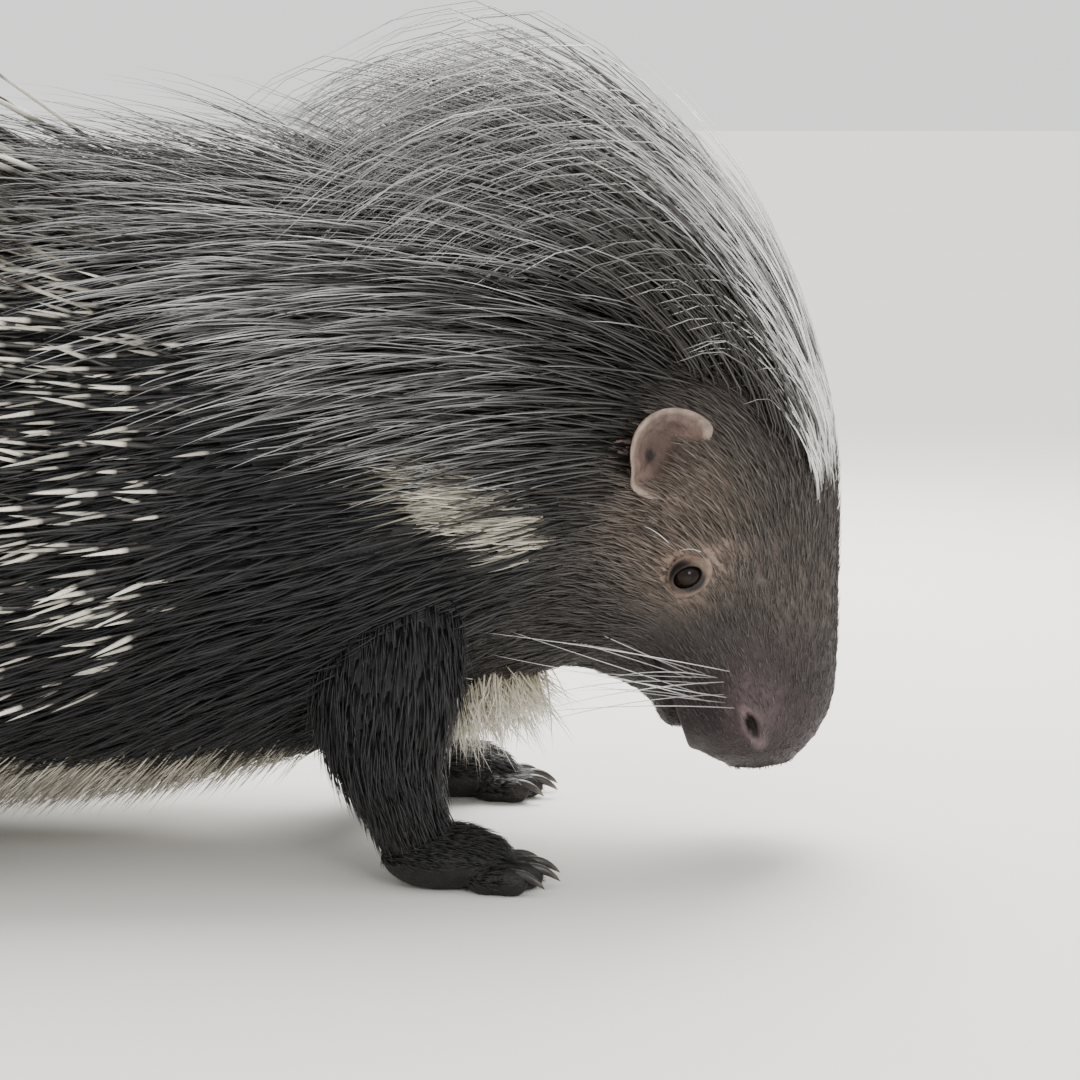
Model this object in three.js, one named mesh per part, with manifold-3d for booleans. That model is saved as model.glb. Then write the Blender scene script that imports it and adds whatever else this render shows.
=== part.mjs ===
// A crested porcupine, life size, standing with its head bowed to the ground.
// Millimetres, +Z up, the head towards +X, the floor at z = 0.
import * as THREE from "three";
import { mergeVertices } from "three/addons/utils/BufferGeometryUtils.js";
import Module from "manifold-3d";

const wasm = await Module();
wasm.setup();

// The body from the nose to the rump, as ribs that run from the back edge to the belly edge.
// Each is back x, back z, belly x, belly z, half width, and how far up the widest place is.
const RIBS = [
  [295, 36, 259, 32, 17, 0.5],
  [303, 45, 247, 38, 26, 0.5],
  [311, 61, 234, 50, 34, 0.5],
  [313.5, 86, 222, 64, 39, 0.48],
  [313.5, 117, 206, 73, 44, 0.48],
  [313, 148, 189, 77, 49, 0.5],
  [311, 176, 173, 73, 53, 0.5],
  [303, 201, 158, 68, 57, 0.5],
  [286, 224, 142, 63, 63, 0.5],
  [256, 242, 124, 57, 70, 0.48],
  [213, 257, 102, 49, 80, 0.46],
  [160, 270, 76, 42, 93, 0.44],
  [98, 279, 44, 36, 106, 0.43],
  [27, 282, 4, 30, 116, 0.42],
  [-71, 281, -76, 27, 122, 0.42],
  [-160, 267, -151, 33, 119, 0.43],
  [-234, 230, -216, 53, 99, 0.45],
  [-279, 181, -260, 80, 66, 0.47],
  [-293, 150, -284, 106, 34, 0.5],
];
const NOSE_CAP = 4;
const RUMP_CAP = 6;
const CAP_SHARE = 0.05;
const BODY_AROUND = 22;
const BODY_ALONG = 48;

// Soft swellings of the body on both sides: x, y, z, reach and rise.
const SWELLINGS = [
  [215, 48, 115, 34, 5],
  [256, 40, 143, 20, 3.5],
  [262, 30, 58, 20, 4],
  [95, 98, 150, 70, 8],
  [-165, 112, 110, 75, 9],
];

// Where the thin cuts cross the body: x and z at the back, x and z at the belly.
const HEAD_CUT = [244, 249, 166, 68];
const NECK_CUT = [160, 275, 140, 50];
const JAW_CUT = [227, 90, 243, 40];
const JAW_BACK_CUT = [197, 72, 227, 90];
const GAP = 0.3;
const MOUTH_GAP = 1.6;
const LIPS = { bottom: 49, top: 86, aside: 3.1, radius: 2.3 };
const FAR = 600;

const EYE = { x: 241, z: 127, depth: 3.6, radius: 7.2 };
const LID_THICKNESS = 1.9;
const NOSTRIL = { x: 271, z: 57, length: 6.5, width: 2.4, depth: 5 };
const EAR = { x: 231, z: 180, depth: -2, length: 22, height: 20, thickness: 8, lean: 0.5 };

// Limbs on the left side, from the body out: x, y, z, half length and half width of each ring.
const FORELEG = [
  [112, 66, 118, 34, 22],
  [112, 78, 88, 33, 21],
  [113, 84, 60, 26, 18],
  [119, 87, 38, 19, 15.5],
  [126, 88, 20, 15, 14],
];
const HINDLEG = [
  [-140, 62, 128, 56, 30],
  [-138, 84, 96, 52, 29],
  [-138, 94, 66, 40, 24],
  [-150, 97, 42, 25, 18],
  [-160, 97, 20, 17, 15],
];
// Each foot: middle of the palm, its half sizes, the toes' spread, reach and claws.
const FOREFOOT = {
  x: 138, y: 88, palmLength: 28, palmWidth: 19, palmHeight: 15, toes: 4, spread: 0.62,
  toeLength: 23, toeRadius: 6.4, clawLength: 17, heel: null,
};
const HINDFOOT = {
  x: -122, y: 97, palmLength: 34, palmWidth: 21, palmHeight: 15, toes: 5, spread: 0.7,
  toeLength: 24, toeRadius: 6.6, clawLength: 15, heel: [-156, 97, 13],
};
const SOLE_DEPTH = 2.5;
const CLAW_RADIUS = 3.1;

const TAIL = [
  [-270, 0, 128, 30, 30],
  [-296, 0, 118, 22, 24],
  [-322, 0, 104, 15, 17],
  [-346, 0, 92, 9, 10],
];

// The crest: how a full lock climbs from its root, as x and z, and where its roots sit.
const CREST_ARC = [[4, -7], [-12, 34], [-38, 76], [-76, 118], [-128, 148], [-184, 130]];
const CREST = { locks: 16, from: 0.365, to: 0.505, spread: 0.62, width: 10, thickness: 2.4 };
const CREST_SIZES = [0.45, 0.8, 1.02, 1, 0.96];
const CREST_LEANS = [-0.12, -0.1, 0, 0.16, 0.34];
const CREST_FAN = 52;

// Locks that lie along the body, as how far back and how far out of the skin each point is.
const MANE_LIE = [[0, -7], [28, 20], [70, 36], [118, 40], [165, 28]];
const MANE = { rows: 3, columns: 4, from: 0.535, to: 0.605, low: 0.3, high: 1.57, width: 11 };
const SHOULDER_LIE = [[0, -7], [30, 24], [78, 44], [130, 52], [172, 48]];
const SHOULDER = { rows: 3, columns: 2, from: 0.635, to: 0.7, low: 0.75, high: 1.6, width: 12 };
const COAT_LIE = [[0, -6], [22, 8], [50, 11], [85, 4]];
const HANGING_LIE = [[0, -6], [3, 9], [8, 20], [16, 30]];
const FLANK = { rows: 4, columns: 3, from: 0.655, to: 0.85, low: -0.7, high: 0.75, width: 21 };
const CHEST = { rows: 2, columns: 2, from: 0.42, to: 0.462, low: -1.57, high: -0.8, width: 10 };
const BELLY = { rows: 4, columns: 2, from: 0.66, to: 0.84, low: -1.5, high: -1, width: 14 };
const COAT_THICKNESS = 3;

// Quills: rows from the shoulders to the rump, lengths and lifts at the front and at the rump.
const LONG_QUILLS = {
  rows: 7, columns: 4, from: 0.69, to: 0.9, low: 0.55, high: 1.6,
  frontLength: 235, middleLength: 270, backLength: 170, frontLift: 0.56, backLift: 0.5,
  radius: 3.1, droop: 12,
};
const SHORT_QUILLS = {
  rows: 6, columns: 4, from: 0.72, to: 0.945, low: -0.75, high: 0.5,
  frontLength: 60, middleLength: 85, backLength: 75, frontLift: 0.3, backLift: 0.45,
  radius: 2.4, droop: 4,
};
const QUILL_SINK = 7;
// How many times the gap a grown strand reaches past its ends, so that its taper stays clear.
const TIP_REACH = 5;
const RATTLE = { count: 8, length: 46, radius: 2, from: [-333, 0, 98] };

const ACROSS = new THREE.Vector3(0, 1, 0);
const UP = new THREE.Vector3(0, 0, 1);

// A fixed run of shares between 0 and 1, so that each build gives the same coat.
let seed = 11;
function random() {
  seed = (seed * 1664525 + 1013904223) % 4294967296;
  return seed / 4294967296;
}
const between = (low, high) => low + (high - low) * random();

// A closed solid of three.js triangles, turned the right way out.
function solid(geometry) {
  const bare = new THREE.BufferGeometry();
  bare.setAttribute("position", geometry.getAttribute("position").clone());
  bare.setIndex(geometry.getIndex());
  const merged = mergeVertices(bare, 1e-3);
  const vertProperties = merged.getAttribute("position").array;
  const triVerts = new Uint32Array(merged.getIndex().array);
  const made = new wasm.Manifold(new wasm.Mesh({ numProp: 3, vertProperties, triVerts }));
  if (made.volume() > 0) return made;
  for (let i = 0; i < triVerts.length; i += 3) {
    [triVerts[i + 1], triVerts[i + 2]] = [triVerts[i + 2], triVerts[i + 1]];
  }
  return new wasm.Manifold(new wasm.Mesh({ numProp: 3, vertProperties, triVerts }));
}

// A ball whose points are moved: place(share along, angle around) gives each new point.
function warpedBall(around, along, place) {
  const ball = new THREE.SphereGeometry(1, around, along);
  const position = ball.getAttribute("position");
  const uv = ball.getAttribute("uv");
  for (let i = 0; i < position.count; i += 1) {
    const share = 1 - uv.getY(i);
    const onSeam = share === 0 || share === 1 || uv.getX(i) === 1;
    const point = place(share, onSeam ? 0 : uv.getX(i) * Math.PI * 2);
    position.setXYZ(i, point.x, point.y, point.z);
  }
  return solid(ball);
}

function ellipsoid(centre, radii, turn = new THREE.Euler(), around = 12, along = 7) {
  const ball = new THREE.SphereGeometry(1, around, along);
  ball.scale(...radii);
  ball.applyMatrix4(new THREE.Matrix4().makeRotationFromEuler(turn));
  ball.translate(...centre);
  return solid(ball);
}

// Body surface

const lineOf = (points) => new THREE.CatmullRomCurve3(points);
const backLine = lineOf(RIBS.map((r) => new THREE.Vector3(r[0], 0, r[1])));
const bellyLine = lineOf(RIBS.map((r) => new THREE.Vector3(r[2], 0, r[3])));
const girthLine = lineOf(RIBS.map((r) => new THREE.Vector3(r[4], r[5] * 100, 0)));

// A point of the plain body: share from nose to rump, angle from the left side over the back.
function bodyPoint(share, angle) {
  const span = 1 - 2 * CAP_SHARE;
  const along = THREE.MathUtils.clamp((share - CAP_SHARE) / span, 0, 1);
  const past = THREE.MathUtils.clamp(
    Math.max(CAP_SHARE - share, share - 1 + CAP_SHARE) / CAP_SHARE, 0, 1);
  const turn = past * Math.PI / 2;
  const back = backLine.getPoint(along);
  const belly = bellyLine.getPoint(along);
  const girth = girthLine.getPoint(along);
  const upward = back.clone().sub(belly);
  const middle = belly.clone().addScaledVector(upward, girth.y / 100);
  const rise = Math.sin(angle);
  const reach = rise > 0 ? 1 - girth.y / 100 : girth.y / 100;
  const point = middle.clone();
  point.addScaledVector(upward, reach * rise * Math.cos(turn));
  point.y += girth.x * Math.cos(angle) * Math.cos(turn);
  const outward = new THREE.Vector3(upward.z, 0, -upward.x).normalize();
  const cap = along < 0.5 ? NOSE_CAP : -RUMP_CAP;
  return point.addScaledVector(outward, cap * Math.sin(turn));
}

const STEP = 0.002;
function bodyNormal(share, angle) {
  const low = Math.max(share - STEP, 0.001);
  const high = Math.min(share + STEP, 0.999);
  const along = bodyPoint(high, angle).sub(bodyPoint(low, angle));
  const held = THREE.MathUtils.clamp(share, 0.004, 0.996);
  const around = bodyPoint(held, angle + 0.01).sub(bodyPoint(held, angle - 0.01));
  return along.cross(around).normalize();
}

function skinPoint(share, angle, grow = 0) {
  const point = bodyPoint(share, angle);
  const normal = bodyNormal(share, angle);
  let rise = grow;
  for (const [x, y, z, reach, height] of SWELLINGS) {
    const away = Math.hypot(point.x - x, Math.abs(point.y) - y, point.z - z) / reach;
    rise += height * Math.exp(-away * away * 2);
  }
  return point.addScaledVector(normal, rise);
}

// The place on the left side's skin that is seen from the side at x and z.
function skinAt(x, z) {
  let best = { share: 0.5, angle: 0, away: Infinity };
  for (let step = 0.04; step > 0.0005; step /= 3) {
    const from = step > 0.03 ? { share: 0.5, angle: 0, reach: 12 } : { ...best, reach: 4 };
    for (let i = -from.reach; i <= from.reach; i += 1) {
      for (let j = -from.reach; j <= from.reach; j += 1) {
        const share = THREE.MathUtils.clamp(from.share + i * step, 0.001, 0.999);
        const angle = THREE.MathUtils.clamp(from.angle + j * step * 3, -1.5, 1.5);
        const point = skinPoint(share, angle);
        const away = Math.hypot(point.x - x, point.z - z);
        if (away < best.away) best = { share, angle, away, point };
      }
    }
  }
  return best;
}

const bodyForm = (grow) =>
  warpedBall(BODY_AROUND, BODY_ALONG, (share, angle) => skinPoint(share, angle, grow));

// The half of space in front of a cut through the body, moved forward by a distance.
function aheadOf([backX, backZ, bellyX, bellyZ], forward) {
  const lean = Math.atan2(backX - bellyX, backZ - bellyZ);
  const block = new THREE.BoxGeometry(FAR, FAR, FAR);
  block.translate(FAR / 2 + forward, 0, 0);
  block.rotateY(lean);
  block.translate((backX + bellyX) / 2, 0, (backZ + bellyZ) / 2);
  return solid(block);
}

// A limb or tail: rings of x, y, z, half length and half width along a smooth line.
function limb(rings, side, grow = 0, around = 10, along = 8) {
  const line = lineOf(rings.map((r) => new THREE.Vector3(r[0], side * r[1], r[2])));
  const sizes = lineOf(rings.map((r) => new THREE.Vector3(r[3], r[4], 0)));
  return warpedBall(around, along, (share, angle) => {
    const t = THREE.MathUtils.clamp((share - 0.1) / 0.8, 0, 1);
    const past = THREE.MathUtils.clamp(Math.max(0.1 - share, share - 0.9) / 0.1, 0, 1);
    const centre = line.getPoint(t);
    const size = sizes.getPoint(t);
    const heading = line.getTangent(t);
    const wide = new THREE.Vector3(0, 1, 0);
    wide.addScaledVector(heading, -wide.dot(heading)).normalize();
    const long = wide.clone().cross(heading);
    const shrink = Math.cos(past * Math.PI / 2);
    centre.addScaledVector(long, (size.x + grow) * Math.cos(angle) * shrink);
    centre.addScaledVector(wide, (size.y + grow) * Math.sin(angle) * shrink);
    const end = (size.y * 0.6 + grow) * Math.sin(past * Math.PI / 2) * (share < 0.5 ? -1 : 1);
    return centre.addScaledVector(heading, end);
  });
}

// A tapered strand along a smooth line, with its half width along the flat side.
function strand(path, width, thickness, flatSide, around, along, profile, grow = 0) {
  const line = lineOf(path);
  return warpedBall(around, along, (share, angle) => {
    const centre = line.getPoint(share);
    const heading = line.getTangent(share);
    const wide = flatSide.clone().addScaledVector(heading, -flatSide.dot(heading)).normalize();
    const thin = wide.clone().cross(heading);
    if (share === 0) return centre.addScaledVector(heading, -TIP_REACH * grow);
    if (share === 1) return centre.addScaledVector(heading, TIP_REACH * grow);
    const size = profile(share);
    centre.addScaledVector(wide, (width * size + grow) * Math.cos(angle));
    return centre.addScaledVector(thin, (thickness * size + grow) * Math.sin(angle));
  });
}

const lockTaper = (t) => Math.min(1, 0.55 + t * 1.6) * (1 - t ** 2.2);
const quillTaper = (t) => Math.min(1, 0.6 + t * 1.6) * (1 - t ** 3);

const join = (pieces) => wasm.Manifold.union(pieces);

// The largest closed surface of a solid, as one piece.
function onePiece(made) {
  const bodies = made.decompose();
  return bodies.reduce((best, b) => (b.volume() > best.volume() ? b : best));
}

// Feet

const floorBlock = new THREE.BoxGeometry(2 * FAR, 2 * FAR, FAR);
floorBlock.translate(0, 0, -FAR / 2);
const underFloor = solid(floorBlock);

function foot(shape, side, grow = 0) {
  const { x, y, palmLength, palmWidth, palmHeight, toes, spread, toeLength, toeRadius } = shape;
  const palmZ = palmHeight - SOLE_DEPTH;
  const pieces = [
    ellipsoid([x, side * y, palmZ],
      [palmLength + grow, palmWidth + grow, palmHeight + grow], new THREE.Euler(), 12, 7),
  ];
  if (shape.heel) {
    pieces.push(ellipsoid([shape.heel[0], side * shape.heel[1], shape.heel[2] - 1],
      [18 + grow, 14 + grow, 13 + grow], new THREE.Euler(), 9, 5));
  }
  for (let i = 0; i < toes; i += 1) {
    const fan = (i / (toes - 1) - 0.5) * spread;
    const start = new THREE.Vector3(
      x + palmLength * 0.55 * Math.cos(fan * 2), side * y + fan * palmWidth * 2.1, toeRadius - 1);
    const reach = toeLength * (1 - 0.35 * Math.abs(fan) / spread);
    const heading = new THREE.Vector3(Math.cos(fan), Math.sin(fan), 0);
    const turn = new THREE.Euler(0, 0, fan);
    const middle = start.clone().addScaledVector(heading, reach * 0.45);
    pieces.push(ellipsoid(middle.toArray(),
      [reach * 0.75 + grow, toeRadius + grow, toeRadius + 1 + grow], turn, 7, 4));
    const tip = start.clone().addScaledVector(heading, reach);
    const clawEnd = tip.clone().addScaledVector(heading, shape.clawLength * 0.85);
    const path = [
      tip.clone().addScaledVector(heading, -5).setZ(toeRadius + 1),
      tip.clone().addScaledVector(heading, shape.clawLength * 0.35).setZ(toeRadius + 1.4),
      clawEnd.setZ(1.4),
    ];
    pieces.push(strand(path, CLAW_RADIUS, CLAW_RADIUS * 1.15, ACROSS, 4, 3,
      (t) => Math.min(1, t * 3) * (1 - t * t), grow));
  }
  return join(pieces).subtract(underFloor);
}

// Coat

// The skin at a root: its place, the way out of it and the way back along it.
function footing(share, angle) {
  const back = bodyPoint(share + 0.01, angle).sub(bodyPoint(share - 0.01, angle)).normalize();
  return { point: skinPoint(share, angle), out: bodyNormal(share, angle), back };
}

// One lock that lies along the body, drawn down by a share and scaled in length and height.
function lyingLock(share, angle, lie, scale, rise, fall, width, thickness) {
  const { point, out, back } = footing(share, angle);
  const way = back.clone().addScaledVector(UP, -fall);
  way.addScaledVector(out, -way.dot(out)).normalize();
  const path = lie.map(([far, high]) => point.clone()
    .addScaledVector(way, far * scale)
    .addScaledVector(out, high > 0 ? high * rise : high));
  const flatSide = way.clone().cross(out);
  return { path, width, thickness, flatSide, along: 5 };
}

// Rows of locks or quills over a patch of the left side, and again over the right side.
function onBothSides(patch, makeOne) {
  const made = [];
  for (let count = 0; count < 2 * patch.rows * patch.columns; count += 1) {
    const column = count % patch.columns;
    const row = Math.floor(count / patch.columns) % patch.rows;
    const onRight = count >= patch.rows * patch.columns;
    const down = (row + between(0.25, 0.75)) / patch.rows;
    const across = (column + (row % 2) * 0.5 + between(0, 0.4)) / (patch.columns + 0.4);
    const share = patch.from + (patch.to - patch.from) * down;
    const angle = patch.low + (patch.high - patch.low) * across;
    made.push(makeOne(share, onRight ? Math.PI - angle : angle));
  }
  return made;
}

// A value read off an evenly spaced row of values.
function valueAlong(values, share) {
  const place = share * (values.length - 1);
  const low = Math.min(Math.floor(place), values.length - 2);
  return THREE.MathUtils.lerp(values[low], values[low + 1], place - low);
}

// A crest lock: long and high in the middle of the crown, short and upright on the forehead.
function crestLock(index) {
  const back = index / (CREST.locks - 1);
  const aside = ((index * 0.618) % 1 - 0.5) * 2 * CREST.spread;
  const share = CREST.from + (CREST.to - CREST.from) * back;
  const { point } = footing(share, Math.PI / 2 - aside);
  const size = valueAlong(CREST_SIZES, back) * (1 - Math.abs(aside) * 0.3);
  const lean = valueAlong(CREST_LEANS, back) + between(-0.04, 0.04);
  const path = CREST_ARC.map(([x, z], i) => {
    const spot = new THREE.Vector3(x * size, 0, z * size).applyAxisAngle(ACROSS, -lean);
    spot.y = aside * CREST_FAN * (i / (CREST_ARC.length - 1)) * size;
    return spot.add(point);
  });
  const edgeOn = index % 2;
  const flatSide = new THREE.Vector3(edgeOn, edgeOn ? between(-0.7, 0.7) : 1, between(0.7, 1));
  return { path, width: CREST.width, thickness: CREST.thickness, flatSide, along: 6 };
}

// One quill: its root in the skin, and how far it stands off the lie of the coat.
function quillAt(kind, share, angle) {
  const along = (share - kind.from) / (kind.to - kind.from);
  const { point, out, back } = footing(share, angle);
  const lift = kind.frontLift + (kind.backLift - kind.frontLift) * along + between(-0.07, 0.07);
  const rear = Math.max(0, along - 0.5) * 2;
  const front = Math.max(0, 0.5 - along) * 2;
  const length = (kind.middleLength + (kind.backLength - kind.middleLength) * rear
    + (kind.frontLength - kind.middleLength) * front) * between(0.88, 1.06);
  const heading = back.clone().multiplyScalar(Math.cos(lift)).addScaledVector(out, Math.sin(lift));
  heading.y += between(-0.07, 0.07);
  const root = point.clone().addScaledVector(out, -QUILL_SINK);
  const path = [0, 0.35, 0.7, 1].map((t) => root.clone()
    .addScaledVector(heading, length * t)
    .addScaledVector(UP, -kind.droop * t * t));
  return { path, width: kind.radius, thickness: kind.radius, flatSide: ACROSS, along: 4 };
}

const lockSolid = (lock, grow = 0) => strand(lock.path, lock.width, lock.thickness,
  lock.flatSide, 4, lock.along, lockTaper, grow);
const quillSolid = (quill, grow = 0) => strand(quill.path, quill.width, quill.thickness,
  quill.flatSide, 3, quill.along, quillTaper, grow);

const crestLocks = Array.from({ length: CREST.locks }, (_, index) => crestLock(index));
const maneLocks = onBothSides(MANE, (share, angle) => {
  const topness = Math.sin(angle);
  return lyingLock(share, angle, MANE_LIE, 0.45 + 0.55 * topness, 0.35 + 0.65 * topness, 0.25,
    MANE.width, COAT_THICKNESS);
});
const shoulderLocks = onBothSides(SHOULDER, (share, angle) =>
  lyingLock(share, angle, SHOULDER_LIE, 1, Math.sin(angle), 0.1, SHOULDER.width, COAT_THICKNESS));
const chestLocks = onBothSides(CHEST, (share, angle) =>
  lyingLock(share, angle, HANGING_LIE, 1, 1, 0, CHEST.width, COAT_THICKNESS));
const bellyLocks = onBothSides(BELLY, (share, angle) =>
  lyingLock(share, angle, COAT_LIE, 0.7, 1.1, 0.2, BELLY.width, COAT_THICKNESS));
const flankLocks = onBothSides(FLANK, (share, angle) =>
  lyingLock(share, angle, COAT_LIE, 1, 1.2, 0.3, FLANK.width, COAT_THICKNESS));
const shortQuills = onBothSides(SHORT_QUILLS, (share, angle) => quillAt(SHORT_QUILLS, share, angle));
const longQuills = onBothSides(LONG_QUILLS, (share, angle) => quillAt(LONG_QUILLS, share, angle));

function rattleQuill(index) {
  const turn = index * 2.4;
  const out = 0.2 + 0.3 * (index % 3) / 2;
  const heading = new THREE.Vector3(-1, Math.cos(turn) * out, Math.sin(turn) * out - 0.3);
  const root = new THREE.Vector3(...RATTLE.from).addScaledVector(heading, -6);
  const path = [0, 0.5, 1].map((t) => root.clone().addScaledVector(heading, RATTLE.length * t));
  return { path, width: RATTLE.radius, thickness: RATTLE.radius, flatSide: ACROSS, along: 3 };
}

// Parts

const body = bodyForm(0);
const clearBody = bodyForm(GAP);
const frontOfHead = aheadOf(HEAD_CUT, GAP / 2);
const behindHead = aheadOf(HEAD_CUT, -GAP / 2);
const frontOfNeck = aheadOf(NECK_CUT, GAP / 2);
const behindNeck = aheadOf(NECK_CUT, -GAP / 2);

const jawSide = (shift) => aheadOf(JAW_CUT, shift);
const jawTop = (shift) => aheadOf(JAW_BACK_CUT, shift);

const eyeOut = skinAt(EYE.x, EYE.z).point.y;
const nostrilOut = skinAt(NOSTRIL.x, NOSTRIL.z).point.y;
const earOut = skinAt(EAR.x, EAR.z).point.y;

const eyeBall = (side, grow) =>
  ellipsoid([EYE.x, side * (eyeOut - EYE.depth), EYE.z], Array(3).fill(EYE.radius + grow));

function lids(side) {
  const ring = new THREE.TorusGeometry(EYE.radius * 0.92, LID_THICKNESS, 5, 14);
  ring.scale(1.12, 0.86, 1);
  ring.rotateX(Math.PI / 2);
  ring.rotateZ(side * -0.18);
  ring.rotateY(0.5);
  ring.translate(EYE.x + 0.5, side * eyeOut, EYE.z);
  return solid(ring);
}

// A lip: a soft bead on the skin beside the line of the mouth, on one side of the slit.
function lip(side, aside) {
  const [topX, topZ, lowX, lowZ] = JAW_CUT;
  const path = [0, 0.25, 0.5, 0.75, 1].map((t) => {
    const z = LIPS.bottom + (LIPS.top - LIPS.bottom) * t;
    const x = lowX + (topX - lowX) * (z - lowZ) / (topZ - lowZ) + aside;
    const { point } = skinAt(x, z);
    return new THREE.Vector3(point.x, side * point.y, point.z);
  });
  const along = new THREE.Vector3(1, 0, 0);
  return strand(path, LIPS.radius, LIPS.radius, along, 5, 6, (t) => Math.sin(Math.PI * t) ** 0.5);
}

function nostril(side) {
  return ellipsoid([NOSTRIL.x, side * nostrilOut, NOSTRIL.z],
    [NOSTRIL.width, NOSTRIL.depth, NOSTRIL.length], new THREE.Euler(0, 0.5, side * -0.5), 8, 6);
}

function earForm(side) {
  const centre = [EAR.x, side * (earOut - EAR.depth), EAR.z];
  const turn = new THREE.Euler(0, 0, side * -EAR.lean);
  const shell = ellipsoid(centre, [EAR.length, EAR.thickness, EAR.height], turn, 14, 9);
  const cup = ellipsoid([EAR.x + 3, side * (earOut - EAR.depth + 6.5), EAR.z - 2],
    [EAR.length * 0.8, EAR.thickness, EAR.height * 0.8], turn, 12, 7);
  return onePiece(shell.subtract(cup).subtract(clearBody));
}

const sides = { left: 1, right: -1 };
const both = (make) => Object.values(sides).map(make);

const lips = [...both((side) => lip(side, LIPS.aside)), ...both((side) => lip(side, -LIPS.aside))];
const lippedBody = join([body, ...lips]);
const headWithJaw = join([lippedBody.intersect(frontOfHead), ...both(lids)])
  .subtract(join(both((side) => eyeBall(side, GAP))))
  .subtract(join(both(nostril)));
const jawChunk = lippedBody.subtract(jawSide(-MOUTH_GAP / 2)).subtract(jawTop(-GAP / 2));
const jawRegion = join([clearBody, ...lips]).subtract(jawSide(MOUTH_GAP / 2))
  .subtract(jawTop(GAP / 2));

const parts = new Map();
const keep = (name, made, material) => parts.set(name, { made: onePiece(made), material });

const skinBrown = new THREE.MeshStandardMaterial({ color: "#5c4a42", roughness: 0.75 });
const coatBlack = new THREE.MeshStandardMaterial({ color: "#25262b", roughness: 0.7 });
const eyeBlack = new THREE.MeshStandardMaterial({ color: "#120d0b", roughness: 0.15 });
const quillBanded = new THREE.MeshStandardMaterial({ color: "#6f6b64", roughness: 0.45 });

const crest = join(crestLocks.map((lock) => lockSolid(lock)));
keep("head", join([headWithJaw.subtract(jawRegion), crest]), skinBrown);
keep("lower_jaw", jawChunk.intersect(frontOfHead), skinBrown);

const wideCrest = join(crestLocks.map((lock) => lockSolid(lock, GAP)));
const neckForm = body.subtract(behindHead).intersect(frontOfNeck);
const neckCoat = [...maneLocks, ...chestLocks];
const limbs = [];
for (const side of Object.values(sides)) {
  limbs.push(limb(FORELEG, side, GAP), limb(HINDLEG, side, GAP));
  limbs.push(foot(FOREFOOT, side, GAP), foot(HINDFOOT, side, GAP));
}
const wideLimbs = join(limbs);
const headRegion = clearBody.intersect(behindHead);
const maneForm = join(neckCoat.map((lock) => lockSolid(lock)));
const coatOfNeck = maneForm.subtract(wideCrest).subtract(wideLimbs).subtract(headRegion);
keep("neck", join([neckForm, coatOfNeck.subtract(clearBody.subtract(frontOfNeck))]), coatBlack);

const wideMane = join(neckCoat.map((lock) => lockSolid(lock, GAP)));
const coatOfTorso = join([
  ...flankLocks.map((lock) => lockSolid(lock)),
  ...bellyLocks.map((lock) => lockSolid(lock)),
  ...shoulderLocks.map((lock) => lockSolid(lock)),
  ...longQuills.map((quill) => quillSolid(quill)),
  ...shortQuills.map((quill) => quillSolid(quill)),
]).subtract(wideCrest).subtract(wideMane).subtract(wideLimbs).subtract(underFloor)
  .subtract(clearBody.intersect(behindNeck));
const rattle = Array.from({ length: RATTLE.count }, (_, index) => rattleQuill(index));
const wideTail = join([limb(TAIL, 1, GAP), ...rattle.map((quill) => quillSolid(quill, GAP))]);
const torsoForm = body.subtract(behindNeck);
keep("torso", join([torsoForm, coatOfTorso.subtract(wideTail)]), coatBlack);
keep("tail", join([limb(TAIL, 1), ...rattle.map((quill) => quillSolid(quill))])
  .subtract(clearBody), quillBanded);

for (const [name, side] of Object.entries(sides)) {
  const forefoot = foot(FOREFOOT, side);
  const hindfoot = foot(HINDFOOT, side);
  const foreleg = limb(FORELEG, side).subtract(foot(FOREFOOT, side, GAP));
  const hindleg = limb(HINDLEG, side).subtract(foot(HINDFOOT, side, GAP));
  keep("forefoot_" + name, forefoot, coatBlack);
  keep("hindfoot_" + name, hindfoot, coatBlack);
  keep("foreleg_" + name, foreleg.subtract(clearBody).subtract(underFloor), coatBlack);
  keep("hindleg_" + name, hindleg.subtract(clearBody).subtract(underFloor), coatBlack);
  keep("ear_" + name, earForm(side).subtract(wideCrest), skinBrown);
  keep("eye_" + name, eyeBall(side, 0), eyeBlack);
}

// The group, with its origin on the floor below the middle of the animal.
function meshOf(name, { made, material }) {
  const { vertProperties, triVerts } = made.getMesh();
  const geometry = new THREE.BufferGeometry();
  geometry.setAttribute("position", new THREE.BufferAttribute(vertProperties, 3));
  geometry.setIndex(new THREE.BufferAttribute(triVerts, 1));
  geometry.computeVertexNormals();
  const mesh = new THREE.Mesh(geometry, material);
  mesh.name = name;
  return mesh;
}

const porcupine = new THREE.Group();
for (const [name, part] of parts) porcupine.add(meshOf(name, part));
const extent = new THREE.Box3().setFromObject(porcupine);
const middle = extent.getCenter(new THREE.Vector3());
porcupine.position.set(-middle.x, -middle.y, -extent.min.z);

export default porcupine;
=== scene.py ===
# %% [markdown]
# A crested porcupine, life size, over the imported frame. The body is one skin with a solid mesh
# coat on it. Sizes are worked out in millimetres in the animal's own frame, where the floor is
# z = 0 and the head points along +X, and are moved into the row frame when a piece is made. The
# eyes are in both frames, so they tell how far apart the two are.

# %% frame
import math

import bmesh
import bpy
import numpy as np
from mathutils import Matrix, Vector
from mathutils.bvhtree import BVHTree


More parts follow.
